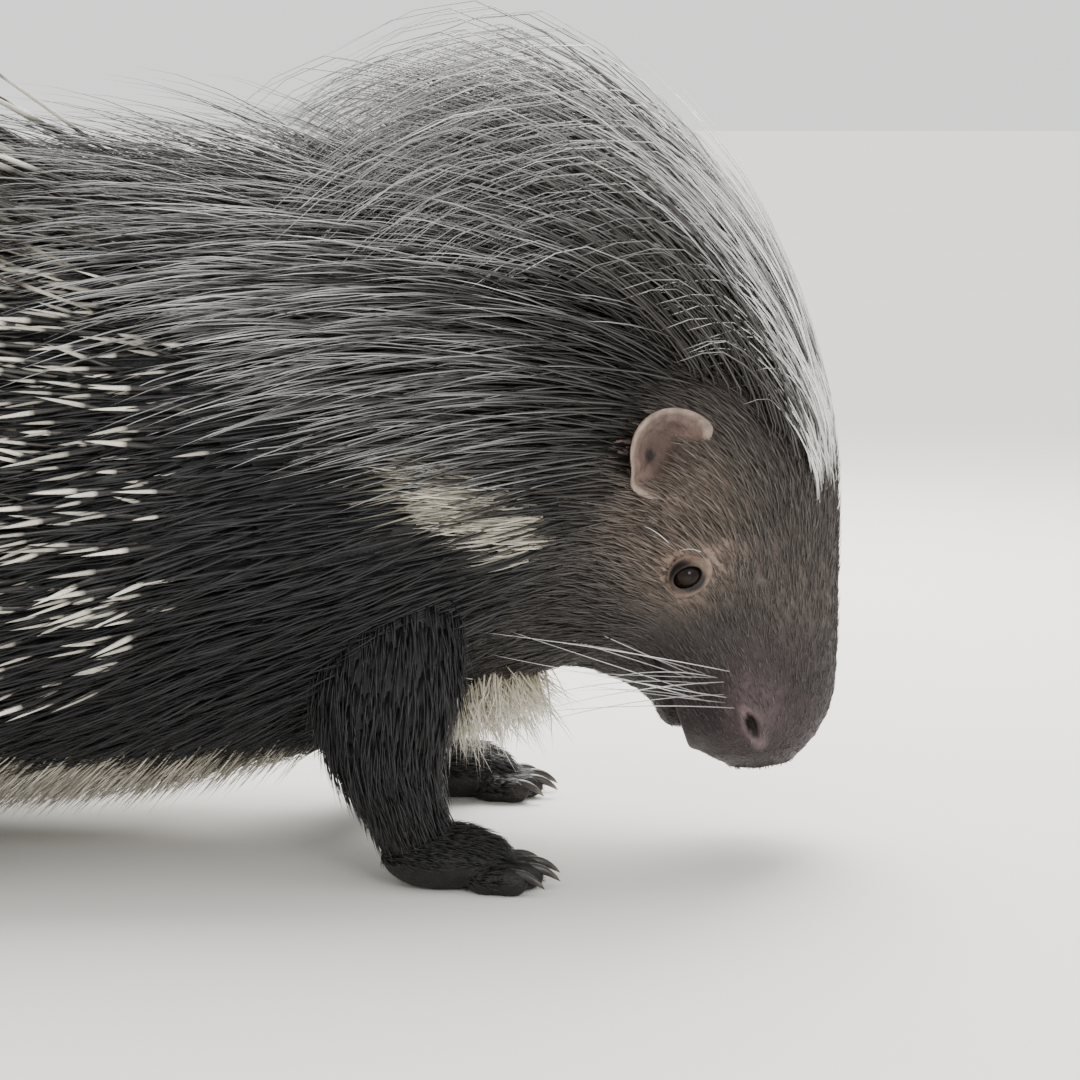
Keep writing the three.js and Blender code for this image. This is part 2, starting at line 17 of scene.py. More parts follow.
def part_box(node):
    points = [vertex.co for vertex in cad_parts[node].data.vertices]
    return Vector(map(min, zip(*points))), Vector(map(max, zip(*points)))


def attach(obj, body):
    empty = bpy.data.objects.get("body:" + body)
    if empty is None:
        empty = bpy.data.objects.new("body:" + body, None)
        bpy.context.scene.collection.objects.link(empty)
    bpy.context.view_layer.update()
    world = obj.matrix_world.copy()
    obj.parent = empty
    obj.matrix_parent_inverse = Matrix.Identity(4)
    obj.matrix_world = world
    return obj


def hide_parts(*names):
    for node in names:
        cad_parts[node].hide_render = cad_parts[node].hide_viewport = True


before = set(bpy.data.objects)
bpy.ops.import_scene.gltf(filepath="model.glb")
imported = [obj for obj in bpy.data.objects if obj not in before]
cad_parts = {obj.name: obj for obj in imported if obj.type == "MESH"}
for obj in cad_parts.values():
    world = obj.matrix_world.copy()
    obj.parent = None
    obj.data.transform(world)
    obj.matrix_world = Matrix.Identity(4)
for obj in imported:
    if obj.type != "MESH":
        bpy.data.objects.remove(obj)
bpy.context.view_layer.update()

DENSITY = 1.0
rng = np.random.default_rng(5)


def middle(node):
    low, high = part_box(node)
    return (np.array(low) + np.array(high)) / 2


EYE = np.array([241.0, 51.3, 127.0])
EYE_RADIUS = 7.2
eyes = (middle("eye_left") + middle("eye_right")) / 2 * 1000
SHIFT = np.array([eyes[0] - EYE[0], eyes[1], 0.0])
EYE[1] = (middle("eye_left")[1] * 1000 - SHIFT[1])
print("shift to the row frame", SHIFT.round(2), "eye out", EYE[1].round(2))


def row(points):
    """Millimetres of the animal's own frame as metres of the row frame."""
    return (np.asarray(points, float) + SHIFT) / 1000


# %% [markdown]
# The body is a loft through ribs, each a line from the back edge to the belly edge with a half
# width. It could be sculpted from a ball. A loft is chosen because every root of hair can then be
# placed by a share along the body and an angle around it, and the same two numbers make the
# unwrap that the coat's UVs need. A few soft swellings give it cheeks, shoulders and thighs.

# %% ribs of the body
# Back edge x and z, belly edge x and z, half width, and how far up the rib is widest.
RIBS = np.array([
    [295, 36, 259, 32, 17, 0.5], [303, 45, 247, 38, 26, 0.5], [311, 61, 234, 50, 34, 0.5],
    [313.5, 86, 222, 64, 39, 0.48], [313.5, 117, 206, 73, 44, 0.48], [313, 148, 189, 77, 49, 0.5],
    [311, 176, 173, 73, 53, 0.5], [303, 201, 158, 68, 57, 0.5], [286, 224, 142, 63, 63, 0.5],
    [256, 242, 124, 57, 70, 0.48], [213, 257, 102, 49, 80, 0.46], [160, 270, 76, 42, 93, 0.44],
    [98, 279, 44, 36, 106, 0.43], [27, 282, 4, 30, 116, 0.42], [-71, 281, -76, 27, 122, 0.42],
    [-160, 267, -151, 33, 119, 0.43], [-234, 230, -216, 53, 99, 0.45],
    [-279, 181, -260, 80, 66, 0.47], [-293, 150, -284, 106, 34, 0.5],
])
# Middle x, y and z, reach and height of the cheek, brow, muzzle, shoulder and thigh.
SWELLINGS = np.array([
    [215, 48, 115, 34, 5], [256, 40, 143, 20, 3.5], [262, 30, 58, 20, 4],
    [95, 98, 150, 70, 8], [-165, 112, 110, 75, 9],
])
NOSE_CAP, RUMP_CAP, CAP_SHARE = 4, 6, 0.05
print("ribs", len(RIBS), "swellings", len(SWELLINGS))


# %% [markdown]
# A line that passes smoothly through a few points gives the back, the belly, the girth and later
# the legs and the crest. Each span is a cubic, spaced so that close points don't make it loop.

# %% smooth lines
def smooth(x, low, high):
    t = np.clip((np.asarray(x, float) - low) / (high - low), 0, 1)
    return t * t * (3 - 2 * t)


def unit(v):
    return v / np.maximum(np.linalg.norm(v, axis=-1, keepdims=True), 1e-9)


class Line:
    """A smooth line through points, at(t) for t from 0 to 1."""

    def __init__(self, points):
        p = np.asarray(points, float)
        ends = np.vstack([2 * p[0] - p[1], p, 2 * p[-1] - p[-2]])
        a, b, c, d = ends[:-3], ends[1:-2], ends[2:-1], ends[3:]
        s, m, e = (np.sqrt(np.linalg.norm(v, axis=1, keepdims=True))
                   for v in (b - a, c - b, d - c))
        start = ((b - a) / s - (c - a) / (s + m) + (c - b) / m) * m
        end = ((c - b) / m - (d - b) / (m + e) + (d - c) / e) * m
        self.terms = (b, start, -3 * b + 3 * c - 2 * start - end, 2 * b - 2 * c + start + end)
        self.spans = len(p) - 1

    def at(self, t):
        x = np.clip(t, 0, 1) * self.spans
        i = np.minimum(x.astype(int), self.spans - 1)
        w = (x - i)[..., None]
        k = [term[i] for term in self.terms]
        return k[0] + w * (k[1] + w * (k[2] + w * k[3]))


flat = np.zeros(len(RIBS))
back_line = Line(np.column_stack([RIBS[:, 0], flat, RIBS[:, 1]]))
belly_line = Line(np.column_stack([RIBS[:, 2], flat, RIBS[:, 3]]))
girth_line = Line(np.column_stack([RIBS[:, 4], RIBS[:, 5] * 100, flat]))
print("back from", RIBS[0, :2], "to", RIBS[-1, :2])


# %% [markdown]
# The surface of the body: a point and a frame for each share along it and angle around it. Both
# ends are closed by a rounded cap. The left half is measured, and the right one mirrors it.

# %% surface of the body
def mirrored(points):
    """Points of either side as points of the left side."""
    return np.asarray(points, float) * [1, 0, 1] + np.abs(points) * [0, 1, 0]


def body_point(share, angle):
    along = np.clip((share - CAP_SHARE) / (1 - 2 * CAP_SHARE), 0, 1)
    past = np.clip(np.maximum(CAP_SHARE - share, share - 1 + CAP_SHARE) / CAP_SHARE, 0, 1)
    turn = past * math.pi / 2
    back, belly, girth = back_line.at(along), belly_line.at(along), girth_line.at(along)
    upward = back - belly
    widest = (girth[..., 1] / 100)[..., None]
    rise = np.sin(angle)[..., None]
    reach = np.where(rise > 0, 1 - widest, widest)
    point = belly + upward * widest + upward * reach * rise * np.cos(turn)[..., None]
    point[..., 1] += girth[..., 0] * np.cos(angle) * np.cos(turn)
    outward = unit(np.stack([upward[..., 2], 0 * along, -upward[..., 0]], -1))
    cap = np.where(along < 0.5, NOSE_CAP, -RUMP_CAP) * np.sin(turn)
    return point + outward * cap[..., None]


def body_frame(share, angle):
    """The way back along the skin and the way out of it."""
    share = np.clip(share, 0.004, 0.996)
    back = body_point(share + 0.003, angle) - body_point(share - 0.003, angle)
    around = body_point(share, angle + 0.01) - body_point(share, angle - 0.01)
    return unit(back), unit(np.cross(back, around))


def skin_point(share, angle, grow=0.0):
    """A place on the body with its swellings, moved out by some millimetres."""
    point = body_point(share, angle)
    out = body_frame(share, angle)[1]
    rise = np.zeros(point.shape[:-1]) + grow
    for x, y, z, reach, height in SWELLINGS:
        away = np.linalg.norm(mirrored(point) - [x, y, z], axis=-1) / reach
        rise += height * np.exp(-away * away * 2)
    return point + out * rise[..., None]


# %% [markdown]
# Nostrils, ears and mouth are known from the side only. The nearest place of the surface, seen
# from there, tells how far out they are.

# %% places on the head
def skin_at(x, z):
    """Share, angle and place of the left side's skin seen from the side at x and z."""
    share, angle = np.meshgrid(np.linspace(0, 0.6, 400), np.linspace(-1.5, 1.5, 200))
    points = skin_point(share, angle)
    away = np.hypot(points[..., 0] - x, points[..., 2] - z)
    best = np.unravel_index(np.argmin(away), away.shape)
    return share[best], angle[best], points[best]


NOSTRIL = skin_at(271, 57)[2]
EAR = skin_at(231, 180)[2] + [0, 2, 0]
print("nostril", NOSTRIL.round(1), "ear", EAR.round(1))


def mouth_slit(x, z):
    """How far ahead of the line of the mouth a place is, seen from the side."""
    return x - (243 - (z - 40) * 0.32)


# %% [markdown]
# Colours of the animal, as sRGB codes that one function turns to linear light.

# %% colours
def linear(code):
    srgb = np.array([int(code[i:i + 2], 16) for i in (1, 3, 5)]) / 255
    return np.where(srgb <= 0.04045, srgb / 12.92, ((srgb + 0.055) / 1.055) ** 2.4)


BODY_BLACK, HEAD, CHEEK = linear("#1d1d20"), linear("#433b37"), linear("#242021")
MUZZLE, NOSE_RIM, PALE_FACE = linear("#281d21"), linear("#5a4b4d"), linear("#7f6d60")
CREAM, PAW, EAR_SKIN = linear("#d3c8b0"), linear("#1c1918"), linear("#62514a")
# The last two are painted shade: the darker middle of the ear's cup, and the near-black of
# nostrils, the mouth's gap and the ear's hole.
EAR_RIM, EAR_CUP_SHADE, HOLE_SHADE = linear("#96867c"), linear("#42332e"), linear("#120c0b")
print("darkest coat", BODY_BLACK.round(4), "palest", CREAM.round(3))


# %% [markdown]
# Markings are soft patches. They could be painted on an image, but coat and skin have to agree,
# and no image is used, so each patch is a function of the place on the animal.

# %% soft patches
def patch(points, centre, reach, soft=0.35):
    """1 inside an ellipsoid of that reach about a centre, on both sides, softly down to 0."""
    away = np.linalg.norm((mirrored(points) - centre) / reach, axis=-1)
    return 1 - smooth(away, 1 - soft, 1 + soft)


def blend(under, over, share):
    return under + (over - under) * share[..., None]


NECK_PATCH, CHEST = np.array([153, 86, 162]), np.array([160, 22, 64])
PATCH_LONG, PATCH_UP = np.array([0.8, 0, -0.6]), np.array([0.6, 0, 0.8])
EAR_LEAN = 0.5
EAR_TILT = np.array([[math.cos(EAR_LEAN), -math.sin(EAR_LEAN), 0],
                     [math.sin(EAR_LEAN), math.cos(EAR_LEAN), 0], [0, 0, 1]])


def ear_place(points):
    """Points in the left ear's own frame: along, out of the cup, and up."""
    return (mirrored(points) - EAR) @ EAR_TILT.T


def nostril_place(points):
    """Points seen from the side in the nostril's own frame: across the slit and along it."""
    away = mirrored(points) - NOSTRIL
    return away[:, 0] * 0.92 + away[:, 2] * 0.39, away[:, 2] * 0.92 - away[:, 0] * 0.39


def neck_patch(points):
    """1 on the pale stripe of the neck that slants forward and down, softly down to 0."""
    away = mirrored(points) - NECK_PATCH
    along, over = away @ PATCH_LONG, away @ PATCH_UP
    return 1 - smooth(np.hypot(along / 34, over / (12 + 0.16 * along)), 0.6, 1.25)


def streaks(points, size, seed):
    """A soft repeatable unevenness from -1 to 1, drawn out along the lie of the coat."""
    turns = np.random.default_rng(seed).normal(size=(6, 3)) / size * [0.5, 1, 1.3]
    return sum(np.sin(points @ t + i) for i, t in enumerate(turns)) / 3


# %% [markdown]
# One function of the place gives the colour of skin and of hair roots, so that the two never
# disagree: first the head, then the pale and dark places of the body, then the ears.

# %% marking
NOSE_REACH = 14


def head_marks(points, colour, head):
    """Cheeks, muzzle, the pale ring of the eye, the nostrils and the line of the mouth, whose
    near-black is painted shade.
    """
    side = mirrored(points)
    x, z = side[:, 0], side[:, 2]
    colour = blend(colour, HEAD, head)
    colour = blend(colour, CHEEK, patch(points, [205, 45, 98], [62, 40, 30], 0.5) * 0.85)
    colour = blend(colour, MUZZLE, head * (1 - smooth(z, 70, 118)) * smooth(x, 215, 240))
    colour = blend(colour, PALE_FACE, patch(points, [238, 50, 150], [26, 30, 36], 0.6) * 0.75)
    ring = patch(points, EYE + [2, 0, 5], [15, 16, 12], 0.6)
    colour = blend(colour, PALE_FACE * 1.2, ring * 0.6)
    colour = blend(colour, CHEEK * 0.5, patch(points, EYE, [8.2, 12, 7.4], 0.12))
    above_nose = patch(points, NOSTRIL + [1, 0, 9], [13, 16, 15], 0.6)
    colour = blend(colour, NOSE_RIM, above_nose * 0.45)
    over, up = nostril_place(points)
    oval = np.hypot(up / 6.4, over / 2.4)
    at_nose = np.abs(side[:, 1] - NOSTRIL[1]) < NOSE_REACH
    colour = blend(colour, NOSE_RIM, (1 - smooth(oval, 1.3, 2.3)) * at_nose)
    # Painted shade: near-black inside each nostril.
    colour = blend(colour, HOLE_SHADE, (1 - smooth(oval, 0.75, 1.05)) * at_nose)
    # Painted shade: near-black along the gap of the mouth.
    slit = np.abs(mouth_slit(x, z)) + 40 * (z > 90) + 40 * (z < 38)
    return blend(colour, HOLE_SHADE, (1 - smooth(slit, 0.8, 2.4)) * head)


def body_marks(points, colour, head):
    """The pale stripe of the neck, the chest, the belly's edge and the dark paws."""
    side = mirrored(points)
    x, z = side[:, 0], side[:, 2]
    uneven = streaks(points, 9, 3) * 0.35
    cream = neck_patch(points) * smooth(uneven, -0.3, 0.3)
    colour = blend(colour, CREAM, cream * 0.9)
    colour = blend(colour, CREAM, patch(points, CHEST, [24, 50, 18], 0.5) * head)
    fringe = (1 - smooth(z, 36, 54)) * smooth(x, -95, -60) * (1 - smooth(x, 68, 92))
    inner = 1 - smooth(side[:, 1], 92, 108)
    colour = blend(colour, CREAM, fringe * inner * 0.9)
    paw = (1 - smooth(z, 26, 44)) * smooth(side[:, 1], 58, 66)
    return blend(colour, PAW, paw)


def ear_marks(points, colour):
    """A pale rim, a cup darkened towards its middle by painted shade, and the hole of the ear in
    painted shade.
    """
    spot = ear_place(points)
    radial = np.hypot(spot[:, 0] / 21, spot[:, 2] / 20)
    at_ear = (np.abs(spot[:, 1]) < 12) * (1 - smooth(radial, 1.02, 1.12))
    colour = blend(colour, EAR_SKIN, at_ear)
    colour = blend(colour, EAR_RIM, at_ear * smooth(radial, 0.84, 0.95))
    # Painted shade: the cup darkens towards its deep middle.
    colour = blend(colour, EAR_CUP_SHADE, at_ear * (1 - smooth(radial, 0.3, 0.75)) * 0.8)
    # Painted shade: near-black in the hole of the ear.
    hole = np.hypot(spot[:, 0] + 6, spot[:, 2] + 1)
    return blend(colour, HOLE_SHADE, at_ear * (1 - smooth(hole, 1.6, 4.2)))


def marking(points, with_ears=False):
    """The colour of coat and skin at each place, in linear red, green and blue."""
    points = np.asarray(points, float)
    x, z = points[:, 0], points[:, 2]
    head = smooth(x - 0.43 * (z - 68), 150, 190)
    colour = np.tile(BODY_BLACK, (len(points), 1))
    colour = body_marks(points, head_marks(points, colour, head), head)
    if with_ears:
        colour = ear_marks(points, colour)
    return np.clip(colour * (1 + 0.12 * streaks(points, 14, 8)[:, None]), 0, 1)


print("colour above the eye", marking([EYE + [0, 0, 14]]).round(3))

# %% [markdown]
# Every finish is a small graph of nodes on Blender's principled shader. One function adds a node
# with its settings, the values of its sockets, what is linked into it and, for a colour ramp, its
# stops. A stop's colour is an sRGB code, or three factors where it only lightens or darkens.

# %% nodes
MIX_SHARE, MIX_UNDER, MIX_OVER, MIX_RESULT = 0, 6, 7, 2


def add(tree, kind, values=None, links=None, stops=(), **settings):
    node = tree.nodes.new(kind)
    for name, value in settings.items():
        setattr(node, name, value)
    for socket, value in (values or {}).items():
        node.inputs[socket].default_value = value
    for socket, source in (links or {}).items():
        tree.links.new(source, node.inputs[socket])
    if stops:
        elements = node.color_ramp.elements
        while len(elements) < len(stops):
            elements.new(0.5)
        for element, (place, colour) in zip(elements, stops):
            element.position = place
            element.color = (*(linear(colour) if isinstance(colour, str) else colour), 1)
    return node


def material(name, roughness, specular=0.5):
    made = bpy.data.materials.new(name)
    made.use_nodes = True
    shader = made.node_tree.nodes["Principled BSDF"]
    shader.inputs["Roughness"].default_value = roughness
    shader.inputs["Specular IOR Level"].default_value = specular
    return made, made.node_tree, shader


# %% [markdown]
# Bare skin of an old rodent is matt and leathery, with pores and a mottled tone. Its colour comes
# from the markings, the mottle is noise about 5 mm across, and the pores are cells of 1.6 mm,
# which is coarser than real ones so that they show.

# %% skin finish
MOTTLE_MM, PORE_MM = 5, 1.6


def skin_material():
    made, tree, shader = material("porcupine_skin", 0.62, 0.35)
    place = add(tree, "ShaderNodeTexCoord").outputs["Object"]
    mottle = add(tree, "ShaderNodeTexNoise", {"Scale": 1000 / MOTTLE_MM, "Detail": 5.0},
                 {"Vector": place})
    shade = add(tree, "ShaderNodeValToRGB", links={"Fac": mottle.outputs["Fac"]},
                stops=[(0.3, (0.62, 0.6, 0.6)), (0.7, (1.2, 1.18, 1.15))])
    mark = add(tree, "ShaderNodeAttribute", attribute_name="mark")
    colour = add(tree, "ShaderNodeMix", {MIX_SHARE: 1.0},
                 {MIX_UNDER: mark.outputs["Color"], MIX_OVER: shade.outputs["Color"]},
                 data_type="RGBA", blend_type="MULTIPLY")
    pores = add(tree, "ShaderNodeTexVoronoi", {"Scale": 1000 / PORE_MM}, {"Vector": place})
    raised = add(tree, "ShaderNodeBump", {"Distance": 0.0006, "Strength": 0.6},
                 {"Height": pores.outputs["Distance"]})
    tree.links.new(colour.outputs[MIX_RESULT], shader.inputs["Base Color"])
    tree.links.new(raised.outputs["Normal"], shader.inputs["Normal"])
    return made


SKIN = skin_material()
print("skin nodes", len(SKIN.node_tree.nodes))

# %% [markdown]
# Hair, bristles, quills and claws are all keratin. They differ in gloss and in how their colour
# runs from root to tip, so one graph serves them all: a ramp along the strand, tinted by the
# markings, times a tone of each strand's own and a fine grain of 0.8 mm. Bands could be an image,
# but a ramp stays sharp at any size.

# %% strand finish
GRAIN_MM = 0.8


def strand_material(name, mark_share, roughness, stops):
    """Hair or quill: a ramp from root to tip, tinted by the markings and a tone of its own."""
    made, tree, shader = material(name, roughness)
    along, mark, own = (add(tree, "ShaderNodeAttribute", attribute_name=layer)
                        for layer in ("along", "mark", "tone"))
    banded = add(tree, "ShaderNodeValToRGB", links={"Fac": along.outputs["Fac"]}, stops=stops)
    tinted = add(tree, "ShaderNodeMix", {MIX_SHARE: mark_share},
                 {MIX_UNDER: banded.outputs["Color"], MIX_OVER: mark.outputs["Color"]},
                 data_type="RGBA")
    tone = add(tree, "ShaderNodeValToRGB", links={"Fac": own.outputs["Fac"]}, stops=[
        (0.0, (0.45, 0.44, 0.43)), (0.7, (0.9, 0.9, 0.9)), (1.0, (1.3, 1.3, 1.3))])
    toned = add(tree, "ShaderNodeMix", {MIX_SHARE: 1.0},
                {MIX_UNDER: tinted.outputs[MIX_RESULT], MIX_OVER: tone.outputs["Color"]},
                data_type="RGBA", blend_type="MULTIPLY")
    place = add(tree, "ShaderNodeTexCoord").outputs["Object"]
    grain = add(tree, "ShaderNodeTexNoise", {"Scale": 1000 / GRAIN_MM, "Detail": 3.0},
                {"Vector": place})
    shade = add(tree, "ShaderNodeValToRGB", links={"Fac": grain.outputs["Fac"]},
                stops=[(0.35, (0.85, 0.85, 0.85)), (0.65, (1.1, 1.1, 1.1))])
    colour = add(tree, "ShaderNodeMix", {MIX_SHARE: 1.0},
                 {MIX_UNDER: toned.outputs[MIX_RESULT], MIX_OVER: shade.outputs["Color"]},
                 data_type="RGBA", blend_type="MULTIPLY")
    raised = add(tree, "ShaderNodeBump", {"Distance": 0.0002, "Strength": 0.4},
                 {"Height": grain.outputs["Fac"]})
    tree.links.new(colour.outputs[MIX_RESULT], shader.inputs["Base Color"])
    tree.links.new(raised.outputs["Normal"], shader.inputs["Normal"])
    return made


# %% [markdown]
# The kinds of hair, from the shortest to the longest, with what each gives the eye.

# %% hair finishes
# Short coarse hair: matt, brown-grey and paler at its tips, so that the face looks dusted.
FUR = strand_material("short_face_fur", 0.7, 0.6, [
    (0.0, "#423f3c"), (0.6, "#756f69"), (1.0, "#c0bcb7")])
# Flat bristle: black, with a soft sheen along its length.
BRISTLE = strand_material("black_flat_bristle", 0.45, 0.45, [
    (0.0, "#1d1d1e"), (0.75, "#222224"), (1.0, "#3f3f40")])
# Soft hair of chest and belly: cream, without gloss.
CREAM_HAIR = strand_material("pale_soft_hair", 0.0, 0.6, [
    (0.0, "#b3a893"), (1.0, "#e7e2d4")])
# Hair of the nape: nearly black, with silver tips.
MANE_HAIR = strand_material("mane_bristle", 0.0, 0.4, [
    (0.0, "#373532"), (0.55, "#474544"), (0.75, "#959595"), (1.0, "#dadada")])
# Springy hair of the crest: dark at the root and silver from half way.
CREST_HAIR = strand_material("crest_bristle", 0.0, 0.4, [
    (0.0, "#433f3b"), (0.3, "#494542"), (0.52, "#63615f"), (0.7, "#adadad"), (1.0, "#ededed")])
# The same hair along the middle of the crown: white beyond its first third, partly the hair's own
# colour and partly a painted highlight of the light from behind.
TOP_HAIR_AND_PAINTED_HIGHLIGHT = strand_material("white_crest_top_painted_highlight", 0.0, 0.35, [
    (0.0, "#423f3c"), (0.28, "#5b5957"), (0.42, "#c4c4c4"), (1.0, "#f6f6f6")])
# The same hair over the brow: white almost from its root, partly its own colour and partly a
# painted highlight.
FORELOCK_AND_PAINTED_HIGHLIGHT = strand_material("white_forelock_painted_highlight", 0.0, 0.35, [
    (0.0, "#423f3c"), (0.1, "#6b6966"), (0.25, "#dcdad8"), (1.0, "#f6f6f6")])
# A whisker: stiff, white and a little glossy.
WHISKER = strand_material("whisker", 0.0, 0.35, [
    (0.0, "#8c8986"), (0.3, "#e7e7e7"), (1.0, "#ededed")])
print("hair finishes, materials so far", len(bpy.data.materials))

# %% [markdown]
# Quills and claws are thick keratin, so they are smoother and glossier than hair.

# %% quill and claw finishes
# A long quill: ivory with two dark brown bands and a pale point.
QUILL = strand_material("banded_quill", 0.0, 0.3, [
    (0.0, "#dad4c5"), (0.14, "#d7d0c0"), (0.18, "#352d29"), (0.36, "#302b28"), (0.4, "#ddd8cb"),
    (0.55, "#dfdace"), (0.59, "#302b27"), (0.78, "#302b27"), (0.83, "#e2ded4"), (1.0, "#edebe5")])
# A short quill: dark, with an ivory end that reads as a fleck.
SPINE = strand_material("white_tipped_spine", 0.0, 0.32, [
    (0.0, "#958e81"), (0.2, "#302b29"), (0.52, "#292727"), (0.6, "#d4cebf"), (1.0, "#eae6da")])
# A hollow tail quill: thin-walled and ivory beyond a dark stalk.
RATTLE = strand_material("rattle_quill", 0.0, 0.4, [
    (0.0, "#595045"), (0.3, "#d4cebf"), (1.0, "#e5e1d7")])
# Horn of a claw: dark, and worn paler at the tip.
CLAW = strand_material("claw_horn", 0.0, 0.35, [
    (0.0, "#453c37"), (0.7, "#302b27"), (1.0, "#6f6559")])
print("quill finishes, materials so far", len(bpy.data.materials))

# % [markdown]
# A living eye is a dark ball under a film of water. Low roughness gives the small sharp highlight,
# and a weak noise of 3 mm keeps the brown iris from looking like paint.

# % eye finish
IRIS_MM = 3


def eye_material():
    made, tree, shader = material("wet_dark_eye", 0.07, 0.14)
    place = add(tree, "ShaderNodeTexCoord").outputs["Object"]
    iris = add(tree, "ShaderNodeTexNoise", {"Scale": 1000 / IRIS_MM, "Detail": 2.0},
               {"Vector": place})
    colour = add(tree, "ShaderNodeValToRGB", links={"Fac": iris.outputs["Fac"]},
                 stops=[(0.3, "#0d0a0a"), (0.8, "#271b14")])
    tree.links.new(colour.outputs["Color"], shader.inputs["Base Color"])
    return made


EYE_DARK = eye_material()
print("eye finish, materials so far", len(bpy.data.materials))

# %% [markdown]
# A closed form is rings of points between two end points. It could be a primitive that is pulled
# into shape, but the coat needs to know where on a form a root is, so each form is a function of a
# share along it and an angle around it, and its mesh is made from that function.

# %% closed forms
def new_object(name, verts, faces):
    mesh = bpy.data.meshes.new(name)
    corners = [tuple(int(i) for i in face) for face in faces]
    mesh.from_pydata([tuple(v) for v in verts], [], corners)
    mesh.validate()
    made = bpy.data.objects.new(name, mesh)
    bpy.context.scene.collection.objects.link(made)
    return made


def face_outwards(made):
    rebuilt = bmesh.new()
    rebuilt.from_mesh(made.data)
    bmesh.ops.recalc_face_normals(rebuilt, faces=rebuilt.faces)
    rebuilt.to_mesh(made.data)
    rebuilt.free()


def loft(name, shares, around, place):
    """A closed form: one point at each end and rings between, place(share, angle) in mm."""
    angles = np.arange(around) * 2 * math.pi / around
    share, angle = np.meshgrid(shares[1:-1], angles, indexing="ij")
    ends = place(np.array([shares[0], shares[-1]]), np.zeros(2))
    verts = np.vstack([place(share.ravel(), angle.ravel()), ends])
    rings, last = len(shares) - 2, (len(shares) - 2) * around
    i, j = np.meshgrid(np.arange(rings - 1), np.arange(around), indexing="ij")
    here, there, nxt = i * around, (i + 1) * around, (j + 1) % around
    quads = np.stack([here + j, there + j, there + nxt, here + nxt], -1)
    faces = [tuple(q) for q in quads.reshape(-1, 4)]
    for j in range(around):
        k = (j + 1) % around
        faces.append((last, j, k))
        faces.append((last + 1, (rings - 1) * around + k, (rings - 1) * around + j))
    made = new_object(name, row(verts), faces)
    face_outwards(made)
    return made


# %% [markdown]
# Forms are joined by a union, so that no seam shows where a leg leaves the body. An operator acts
# on all that is selected, so one piece is selected alone before each. A finished piece gets its
# finish, smooth shading, its body and the imported nodes that it stands for.

# %% joining and finishing
def select_only(made):
    for other in bpy.context.selected_objects:
        other.select_set(False)
    bpy.context.view_layer.objects.active = made
    made.select_set(True)


def apply_modifier(made, kind, **settings):
    select_only(made)
    modifier = made.modifiers.new(kind.lower(), kind)
    for name, value in settings.items():
        setattr(modifier, name, value)
    bpy.ops.object.modifier_apply(modifier=modifier.name)


def fuse(made, others):
    for other in others:
        apply_modifier(made, "BOOLEAN", object=other, operation="UNION", solver="MANIFOLD")
        bpy.data.objects.remove(other, do_unlink=True)
    return made


def finish_piece(made, looks, nodes=()):
    made.data.materials.clear()
    made.data.materials.append(looks)
    made.data.polygons.foreach_set("use_smooth", np.ones(len(made.data.polygons), bool))
    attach(made, "root")
    if nodes:
        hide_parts(*nodes)
    return made


# %% [markdown]
# Values at points carry what a finish needs: the marking's colour, how far along its strand a
# point is, and a tone for each strand.

# %% values at points
def vertices_of(made):
    co = np.empty(len(made.data.vertices) * 3)
    made.data.vertices.foreach_get("co", co)
    return co.reshape(-1, 3)


def write_layer(mesh, name, kind, values):
    layer = mesh.attributes.new(name, kind, "POINT")
    layer.data.foreach_set("color" if kind == "FLOAT_COLOR" else "value", np.ravel(values))


def mark_piece(made):
    points = vertices_of(made) * 1000 - SHIFT
    colours = np.column_stack([marking(points, True), np.ones(len(points))])
    write_layer(made.data, "mark", "FLOAT_COLOR", colours)


# %% [markdown]
# Hair, bristles and quills are strands: closed tapered tubes of few sides. Hair curves would be
# quicker to draw, but an export drops them, so each strand is solid mesh. One call turns arrays
# of paths and sizes into one mesh, in several pieces where it would have too many faces. Each
# strand's UVs are a patch 0.003 across at its root's place on the unwrap.

# %% shape of a strand
def tube_points(paths, flat_side, width, thickness, taper, sides):
    """Rings of points round each path, wide along its flat side, and its tip as the last one."""
    flat = flat_side[:, None]
    heading = unit(np.gradient(paths, axis=1))
    wide = unit(flat - heading * np.sum(flat * heading, -1, keepdims=True))
    thin = np.cross(heading, wide)
    rings = paths.shape[1] - 1
    angle = np.arange(sides) * 2 * math.pi / sides
    size = taper(np.arange(rings) / rings)[None, :, None, None]
    over = width[:, None, None, None] * size * np.cos(angle)[None, None, :, None]
    up = thickness[:, None, None, None] * size * np.sin(angle)[None, None, :, None]
    ring = paths[:, :-1, None] + wide[:, :-1, None] * over + thin[:, :-1, None] * up
    return np.concatenate([ring.reshape(len(paths), -1, 3), paths[:, -1:]], axis=1)


def tube_faces(rings, sides):
    """The corners of one strand's faces, and how many corners each face has."""
    corners, sizes = [], []
    tip = rings * sides
    for r in range(rings - 1):
        for s in range(sides):
            n = (s + 1) % sides
            corners += [r * sides + s, r * sides + n, (r + 1) * sides + n, (r + 1) * sides + s]
            sizes.append(4)
    for s in range(sides):
        corners += [tip - sides + s, tip - sides + (s + 1) % sides, tip]
        sizes.append(3)
    return corners + list(range(sides))[::-1], sizes + [sides]


# %% [markdown]
# The arrays are written straight into a mesh, because a list of a million faces would be slow.

# %% meshes of strands
MOST_TRIANGLES, UV_PATCH = 180000, 0.003


